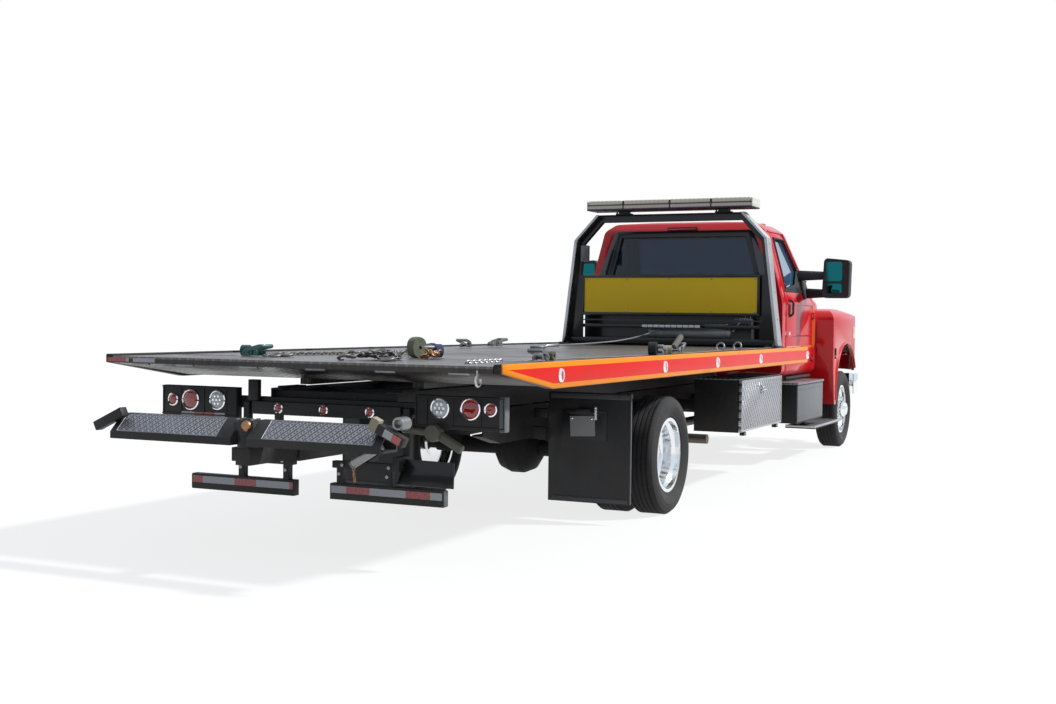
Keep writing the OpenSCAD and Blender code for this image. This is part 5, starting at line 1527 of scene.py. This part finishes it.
def makeMirrors():
    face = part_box("mirror_right")[1].y - 0.012
    outer = 1.2

    plate = block((outer + 0.062, face, 1.79), (outer + 0.222, face + 0.004, 1.985), 0.0)
    upperGlass = roundEdges(plate, 0.022, 4, lambda middle, along: abs(along.normalized().y) > 0.9)
    bothSides(upperGlass, "mirrorGlass", "cab_door", "mirrorGlass")

    plate = block((outer + 0.062, face, 1.668), (outer + 0.222, face + 0.008, 1.768), 0.0)
    plate = roundEdges(plate, 0.022, 4, lambda middle, along: abs(along.normalized().y) > 0.9)
    lowerGlass = roundEdges(plate, 0.005, 3, lambda middle, along: middle.y > face + 0.007)
    bothSides(lowerGlass, "mirrorConvex", "cab_door", "mirrorGlass")

    divider = block((outer + 0.05, face - 0.002, 1.772), (outer + 0.235, face + 0.01, 1.786), 0.003)
    bothSides(divider, "mirrorDivider", "cab_door", "blackPlastic")

    pieces = []
    for z in (1.67, 1.85):
        start = Vector(onSide(screenLine(z, 0.235), z, -0.02))
        end = Vector((1.262, -2.985, z))
        sleeve = drum(start, end, 0.055, 24, 0.01, endRadius=0.04)
        pieces.append(flattened(sleeve, (0, 1, 0), 0.7, (start + end) / 2))
    foot = slab([onSide(-3.14, 1.62, 0.002), onSide(-3.14, 1.9, 0.002), onSide(-2.99, 1.905, 0.002),
                 onSide(-2.95, 1.62, 0.002)], (0.03, 0, 0), 0.01, 3)
    bothSides(join(pieces + [foot]), "mirrorArms", "cab_door", "blackPlastic")

    points = [onSide(-2.36, 1.706, -0.004), onSide(-2.74, 1.752, -0.004), onSide(-2.93, 1.895, -0.004),
              onSide(-3.02, 1.93, -0.004), onSide(-3.135, 1.7, -0.004), onSide(-2.9, 1.7, -0.004)]
    bothSides(slab(points, (0.012, 0, 0), 0.002), "mirrorSail", "cab_door", "blackPlastic")


makeWindowSeals()
makeDoorTrim()
makeCabBack()
makeRoofLamps()
makeWipers()
makeMirrors()
print("cab trim and mirrors done")


# hood, fenders, lamps and bumper

frontAxle = middleOf("front_tyre_left")
arch = {"radius": 0.529, "centre": frontAxle.z + 0.2, "side": 1.2, "sweep": 2.66}


def makeFenders():
    y, z, r = frontAxle.y, arch["centre"], arch["radius"] + 0.006
    points = [(arch["side"] - 0.004, y + r, 0.54)]
    points += [(arch["side"] - 0.004, y + r * math.cos(a), z + r * math.sin(a))
               for a in (arch["sweep"] * i / 16 for i in range(17))]
    bothSides(tube(points, 0.014, 3, smooth=False), "fenderLip", "bonnet", "redPaint")

    lamp = block((1.188, -4.66, 1.2), (1.204, -4.54, 1.33), 0.0)
    sideLamp = roundEdges(roundEdges(lamp, 0.03, 5, lambda middle, along: abs(along.normalized().x) > 0.9),
                          0.004, 3)
    bothSides(sideLamp, "fenderLamp", "bonnet", "lampAmber")

    plan = [(0.62, -4.992), (0.96, -4.968), (1.1, -4.905), (1.06, -4.86), (0.92, -4.9), (0.62, -4.93)]
    headlight = slab([(x, y, 1.03) for x, y in plan], (0, 0, 0.2), 0.012, 3)
    bothSides(headlight, "headlight", "bonnet", "lampClear")

    pieces = []
    for x, y, lean in ((0.72, -4.993, 0.0), (0.88, -4.985, 0.09)):
        pieces.append(lathe([(0.055, 0.0), (0.058, 0.008), (0.066, 0.01), (0.072, 0.006), (0.074, 0.0),
                             (0.055, 0.0)], (x, y, 1.13), (lean, -1, 0), 36))
        pieces.append(lathe([(0.0, 0.016), (0.024, 0.012), (0.036, 0.004), (0.04, 0.0), (0.0, 0.0)],
                            (x, y, 1.13), (lean, -1, 0), 28))
    bothSides(join(pieces), "headlightBowls", "bonnet", "chrome")

    plan = [(0.6, -4.986), (0.96, -4.962), (1.115, -4.892), (1.06, -4.85), (0.92, -4.89), (0.6, -4.92)]
    low = slab([(x, y, 1.005) for x, y in plan], (0, 0, 0.022), 0.005)
    high = slab([(x, y, 1.233) for x, y in plan], (0, 0, 0.022), 0.005)
    inner = block((0.592, -4.992, 1.005), (0.615, -4.93, 1.255), 0.005)
    bothSides(join([low, high, inner]), "headlightRim", "bonnet", "chrome")

    plan = [(1.115, -4.89), (1.165, -4.81), (1.196, -4.68), (1.15, -4.68), (1.12, -4.78), (1.07, -4.85)]
    turnLamp = slab([(x, y, 1.035) for x, y in plan], (0, 0, 0.19), 0.008, 3)
    bothSides(turnLamp, "turnLamp", "bonnet", "lampAmber")

    latch = join([block((1.1985, -3.66, 1.02), (1.212, -3.62, 1.1), 0.004),
                  drum((1.198, -3.64, 1.0), (1.212, -3.64, 1.0), 0.013, 20, 0.003)])
    bothSides(latch, "hoodLatch", "bonnet", "blackPlastic")


def makeGrille():
    low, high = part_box("grille")
    bars = [block((-0.45, high.y + 0.004, low.z + 0.02 + i * 0.018),
                  (0.45, high.y + 0.008, low.z + 0.026 + i * 0.018), 0)
            for i in range(int((high.z - low.z - 0.04) / 0.018))]
    posts = [block((x - 0.003, high.y + 0.008, low.z + 0.015), (x + 0.003, high.y + 0.012, high.z - 0.015), 0)
             for x in [-0.44 + i * 0.04 for i in range(23)]]
    dress(join(bars + posts), "grilleMesh", "bonnet", "blackPlastic", 0)
    # the two creases that edge the raised middle of the hood
    for side in (-1, 1):
        crease = tube([(side * 0.42, -4.78, 1.536), (side * 0.5, -4.3, 1.572), (side * 0.56, -3.8, 1.607),
                       (side * 0.58, -3.58, 1.615)], 0.012, 3)
        dress(crease, "hoodCrease" + ("Right" if side < 0 else "Left"), "bonnet", "redPaint")


def makeBumperDetails():
    low, _, middle = sides("front_bumper")
    for side, x in (("Left", 0.34), ("Right", -0.34)):
        hook = tube([(x, low.y + 0.06, low.z + 0.03), (x, low.y + 0.03, low.z + 0.02),
                     (x, low.y + 0.026, low.z - 0.02), (x, low.y + 0.05, low.z - 0.04),
                     (x, low.y + 0.08, low.z - 0.03)], 0.011, 3)
        dress(hook, "towHook" + side, "truck", "frameBlack")
        eye = lathe([(0.0, 0.008), (0.03, 0.006), (0.042, 0.002), (0.046, 0.0), (0.0, 0.0)],
                    (x * 2.35, low.y + 0.009, middle.z), (0, -1, 0), 32)
        dress(eye, "fogLamp" + side, "truck", "lampClear")
    plate = block((-0.155, low.y - 0.0005, middle.z - 0.06), (0.155, low.y + 0.004, middle.z + 0.06), 0.001,
                  1)
    dress(plate, "frontPlate", "truck", "plateWhite")
    spots = [(x, low.y + 0.004, z) for x in (-1.02, -0.5, 0.5, 1.02)
             for z in (middle.z - 0.07, middle.z + 0.07)]
    dress(studs(spots, (0, -0.0048, 0), 0.012, 20, 0.002), "bumperBolts", "truck", "chrome")


makeFenders()
makeGrille()
makeBumperDetails()
print("front done")


# step boxes and tool boxes

def makeStepTrim():
    edge = sideFace

    lid = block((0.712, -3.078, 0.7705), (edge + 0.01, -1.962, 0.792), 0.004)
    bothSides(lid, "stepLid", "truck", "treadStep")

    outer = block((edge, -3.055, 0.415), (edge + 0.004, -1.985, 0.762), 0.0015)
    ribs = [block((edge + 0.003, -3.0, z), (edge + 0.007, -2.04, z + 0.008), 0.002) for z in (0.452, 0.722)]
    bothSides(join([outer] + ribs), "stepBoxSkin", "truck", "stepGrey")

    top = block((0.945, -3.712, 0.3355), (1.228, -2.578, 0.340), 0.0015)
    bothSides(top, "lowerTread", "truck", "treadStep")

    treadEdge = join([block((1.226, -3.718, 0.322), (1.244, -2.572, 0.345), 0.004),
                      block((0.94, -2.584, 0.322), (1.24, -2.568, 0.345), 0.004)])
    bothSides(treadEdge, "treadEdge", "truck", "steelBright")


def makeToolBoxTrim():
    y0, y1, z0, z1 = -1.37, -0.07, 0.456, 0.885         # the door's rear and front, bottom and top
    middle = (y0 + y1) / 2
    strips = ((y0, z1 - 0.018, y1, z1), (y0, z0, y1, z0 + 0.016), (y0, z0 + 0.016, y0 + 0.016, z1 - 0.018),
              (y1 - 0.016, z0 + 0.016, y1, z1 - 0.018))
    frameBars = [block((sideFace - 0.001, ya, za), (sideFace + 0.0035, yb, zb), 0.0012, 1)
                 for ya, za, yb, zb in strips]
    bothSides(join(frameBars), "toolDoorFrame", "box_door", "steelBright")
    out = sideFace + 0.0085
    handle = tube([(out, middle - 0.035, z1 - 0.105), (out + 0.012, middle - 0.03, z1 - 0.1),
                   (out + 0.012, middle + 0.03, z1 - 0.1), (out, middle + 0.035, z1 - 0.105)], 0.006)
    lock = lathe([(0.0, 0.006), (0.009, 0.005), (0.011, 0.0), (0.0, 0.0)], (out, middle, z1 - 0.075),
                 (1, 0, 0), 20)
    bothSides(join([handle, lock]), "toolDoorLatch", "box_door", "chrome")
    spots = [(sideFace + 0.001, y0 + 0.05 + i * 0.12, z1 - 0.009) for i in range(11)]
    bothSides(studs(spots, (0.0045, 0, 0), 0.005, 8), "toolDoorRivets", "box_door", "wornSteel")

    lid = block((0.79, -1.376, 0.8855), (1.185, -0.064, 0.897), 0.003)
    bothSides(lid, "toolBoxLid", "truck", "treadStep")


makeStepTrim()
makeToolBoxTrim()
print("boxes done")


# wheel lift crossbar

def makeCrossbarTreads():
    _, high, middle = sides("lift_crossbar")
    upper = Vector((0, high.y - 0.097, high.z + 0.001))
    lower = Vector((0, high.y - 0.005, high.z - 0.088))

    corners = [upper + Vector((0.15, 0, 0)), upper + Vector((0.8, 0, 0)), lower + Vector((0.8, 0, 0)),
               lower + Vector((0.15, 0, 0))]
    bothSides(slab(corners, (0, 0.002, 0.002), 0.0008, 1), "crossbarTread", "crossbar", "treadStep")

    corners = [upper + Vector((0.145, 0.001, 0.001)), upper + Vector((0.806, 0.001, 0.001)),
               lower + Vector((0.806, 0.001, 0.001)), lower + Vector((0.145, 0.001, 0.001))]
    bothSides(tube(corners, 0.004, 1, smooth=False, closed=True), "crossbarRim", "crossbar", "wornSteel")

    knob = lathe([(0.0, 0.022), (0.014, 0.02), (0.026, 0.011), (0.031, 0.002), (0.031, -0.004),
                  (0.0, -0.004)], (-0.02, middle.y + 0.043, high.z - 0.03), (0, 1, 0), 32)
    dress(knob, "pivotKnob", "crossbar", "brassy")

    # folded arm stub at each end; the right one has tape, a pale block, a round socket and a tie tube
    tilt = math.radians(25)

    def onStub(piece, along=0.0, out=0.0, lift=0.0):
        place = Matrix.Translation((0.8, high.y - 0.036, high.z + 0.008)) @ Matrix.Rotation(tilt, 4, "Y")
        piece.data.transform(place @ shifted(along, out, lift))
        return piece

    stub = onStub(block((-0.02, -0.026, -0.026), (0.19, 0.026, 0.026), 0.005))
    bothSides(stub, "armStub", "crossbar", "frameBlack")

    def rightOnly(piece, name, finish):
        dress(mirroredOnly(piece), name, "crossbar", finish)
    rightOnly(onStub(block((-0.024, -0.024, -0.034), (0.024, 0.024, 0.034), 0.005), 0.004, 0.006, 0.008),
              "armBlock", "creamStrap")
    for name, along, finish in (("armTapeWhite", 0.098, "plateWhite"), ("armTapeRed", 0.15, "lampRed")):
        rightOnly(onStub(block((-0.026, 0, -0.019), (0.026, 0.003, 0.019), 0.0005, 1), along, 0.025), name,
                  finish)
    tubeEnd = lathe([(0.02, 0.0), (0.021, 0.03), (0.03, 0.032), (0.033, 0.028), (0.033, -0.05), (0.02, -0.05),
                     (0.02, 0.0)], (0.925, middle.y + 0.01, high.z + 0.02), (0, 1, 0), 32)
    rightOnly(tubeEnd, "armSocket", "wornSteel")
    start = Vector((0.83, high.y - 0.05, high.z - 0.092))
    end = Vector((0.665, high.y - 0.05, high.z - 0.19))
    tie = join([drum(start, end, 0.024, 24, 0.004), drum(end, end + (end - start) * 0.02, 0.027, 24, 0.003)])
    rightOnly(tie, "tieTube", "wornSteel")
    chainAlong([(-0.672, high.y - 0.045, high.z - 0.2), (-0.676, high.y - 0.043, high.z - 0.235),
                (-0.68, high.y - 0.045, high.z - 0.27)], "tieChain", "crossbar", "brassy", 0.014, 0.0026)
    spots = [(x, y, high.z - 0.002) for x in (-0.045, 0.045) for y in (middle.y - 0.03, middle.y + 0.02)]
    dress(studs(spots, (0, 0, 0.01), 0.011), "hubBolts", "crossbar", "wornSteel")


def makeTailCap():
    # round cap with its arm, below the right-hand lamps
    centre = Vector((-0.73, 4.34, 0.745))
    cap = lathe([(0.0, 0.016), (0.03, 0.015), (0.044, 0.008), (0.047, 0.0), (0.047, -0.05), (0.0, -0.05)],
                centre, (0, 1, 0), 32)
    dress(cap, "tailCap", "subframe", "oliveMetal")
    arm = drum(centre + Vector((-0.03, -0.03, -0.01)), centre + Vector((-0.17, -0.03, -0.085)), 0.026, 24,
               0.008)
    tie = drum(centre + Vector((0.03, -0.03, 0)), centre + Vector((0.2, -0.03, 0.01)), 0.018, 20, 0.004)
    dress(join([arm, tie]), "tailCapArm", "subframe", "oliveMetal")


# seats and inside

seat = {"voxel": 0.016, "pressure": 4.0, "frames": 20, "swell": 0.02, "fill": 0.7}


def swell(piece):
    # remesh, let the cloth fill out, cap the travel and smooth
    only(piece)
    remesh = piece.modifiers.new("remesh", "REMESH")
    remesh.mode = "VOXEL"
    remesh.voxel_size = seat["voxel"]
    applyModifiers(piece)
    before = [corner.co.copy() for corner in piece.data.vertices]
    cloth = piece.modifiers.new("cloth", "CLOTH")
    cloth.settings.use_pressure = True
    cloth.settings.uniform_pressure_force = seat["pressure"]
    cloth.settings.effector_weights.gravity = 0
    cloth.point_cache.frame_start = 1
    cloth.point_cache.frame_end = seat["frames"]
    for frameNumber in range(1, seat["frames"] + 1):
        bpy.context.scene.frame_set(frameNumber)
    applyModifiers(piece)
    bpy.context.scene.frame_set(1)
    for corner, start in zip(piece.data.vertices, before):
        travel = corner.co - start
        if travel.length > seat["swell"]:
            corner.co = start + travel.normalized() * seat["swell"]
    smooth = piece.modifiers.new("smooth", "SUBSURF")
    smooth.levels = smooth.render_levels = 1
    applyModifiers(piece)
    return piece


def cushion(outline, x0, x1, name):
    # outline in the Y-Z plane, drawn across from x0 to x1 and filled out
    inset = 0.02
    body = slab([(x0 + inset, y, z) for y, z in outline], (x1 - x0 - 2 * inset, 0, 0), 0.022, 3)
    dress(swell(body), name, "truck", "seatCloth", 60)
    return body


def makeSeats():
    low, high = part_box("seats")
    base, rear = low.z, high.y
    for name, x0, x1 in (("Driver", 0.15, high.x), ("Bench", low.x, 0.05)):
        bottom = [(rear - 0.68, base + 0.225), (rear - 0.7, base + 0.34), (rear - 0.62, base + 0.372),
                  (rear - 0.26, base + 0.375), (rear - 0.2, base + 0.34), (rear - 0.2, base + 0.225)]
        back = [(rear - 0.2, base + 0.4), (rear - 0.215, base + 0.46), (rear - 0.125, base + 0.86),
                (rear - 0.09, base + 0.885), (rear - 0.04, base + 0.88), (rear - 0.015, base + 0.84),
                (rear - 0.035, base + 0.4)]
        cushion(bottom, x0, x1, "seatCushion" + name)
        cushion(back, x0, x1, "seatBack" + name)
        plinth = block((x0 + 0.02, rear - 0.56, base + 0.001), (x1 - 0.02, rear - 0.06, base + 0.21), 0.02, 3)
        dress(plinth, "seatBase" + name, "truck", "blackPlastic")
    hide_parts("seats")


def makeInside():
    low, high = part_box("dashboard")
    hood = block((0.24, high.y - 0.21, high.z - 0.03), (0.62, high.y - 0.09, high.z + 0.02), 0.02, 3)
    dress(hood, "gaugeHood", "truck", "blackPlastic")
    dials = [lathe([(0.0, 0.004), (0.034, 0.004), (0.04, 0.0), (0.0, 0.0)],
                   (x, high.y - 0.088, high.z - 0.012), (0, 1, 0.3), 32) for x in (0.33, 0.43, 0.53)]
    dress(join(dials), "gauges", "truck", "plateWhite")
    vents = [block((x - 0.05, high.y - 0.062, high.z - 0.1), (x + 0.05, high.y - 0.04, high.z - 0.06), 0.006)
             for x in (-0.7, -0.1, 0.1, 0.75)]
    dress(join(vents), "dashVents", "truck", "blackPlastic")
    pedals = [block((x, low.y + 0.12, shellLow.z + 0.12), (x + 0.07, low.y + 0.14, shellLow.z + 0.24), 0.008)
              for x in (0.34, 0.5)]
    dress(join(pedals), "pedals", "truck", "blackPlastic")


# underneath

def makeUnderneath():
    axle = middleOf("rear_axle")
    engineLow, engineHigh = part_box("engine")
    start = Vector((0, engineHigh.y - 0.01, engineLow.z + 0.22))
    end = Vector((0, axle.y - 0.3, axle.z + 0.02))
    half = start.lerp(end, 0.52)
    half.z = min(half.z, 0.5)
    shafts = [drum(start, half, 0.042, 28, 0.004), drum(half, end, 0.046, 28, 0.004)]
    for spot in (start, half, end):
        shafts.append(drum(spot - Vector((0, 0.05, 0)), spot + Vector((0, 0.05, 0)), 0.062, 24, 0.012))
        shafts.append(drum(spot - Vector((0.07, 0, 0)), spot + Vector((0.07, 0, 0)), 0.022, 16, 0.004))
    dress(join(shafts), "driveShaft", "truck", "wornSteel")
    chambers = []
    for x in (-0.42, 0.42):
        y = axle.y + 0.2
        chambers.append(drum((x, y, axle.z + 0.06), (x, y + 0.14, axle.z + 0.06), 0.078, 32, 0.014))
        chambers.append(ring(0.08, 0.008, (x, y + 0.07, axle.z + 0.06), (0, 1, 0), 32, 8))
        chambers.append(drum((x, axle.y + 0.03, axle.z + 0.06), (x, y + 0.02, axle.z + 0.06), 0.014, 16,
                             0.003))
    dress(join(chambers), "brakeChambers", "truck", "castIron")
    hoses = [tube([(x, axle.y + 0.33, axle.z + 0.08), (x * 0.95, axle.y + 0.42, axle.z + 0.2),
                   (x * 0.9, axle.y + 0.3, axle.z + 0.27), (x * 0.86, axle.y + 0.05, axle.z + 0.25)],
                  0.009, 2) for x in (-0.42, 0.42)]
    dress(join(hoses), "brakeHoses", "truck", "flapRubber")

    # plain splash guard inside the front arch
    y, z, r = frontAxle.y, arch["centre"], arch["radius"] - 0.006
    points = [(y + r * math.cos(a), z + r * math.sin(a)) for a in (arch["sweep"] * i / 14 for i in range(15))]
    shell = chainOfPoints([(0.66, b, c) for b, c in points])
    bpy.ops.mesh.select_all(action="SELECT")
    bpy.ops.mesh.extrude_region_move(TRANSFORM_OT_translate={"value": (0.38, 0, 0)})
    done()
    thick = shell.modifiers.new("thick", "SOLIDIFY")
    thick.thickness = 0.004
    applyModifiers(shell)
    bothSides(shell, "splashGuard", "bonnet", "blackPlastic")


makeCrossbarTreads()
makeTailCap()
makeSeats()
makeInside()
makeUnderneath()
print("lift, seats and underneath done")
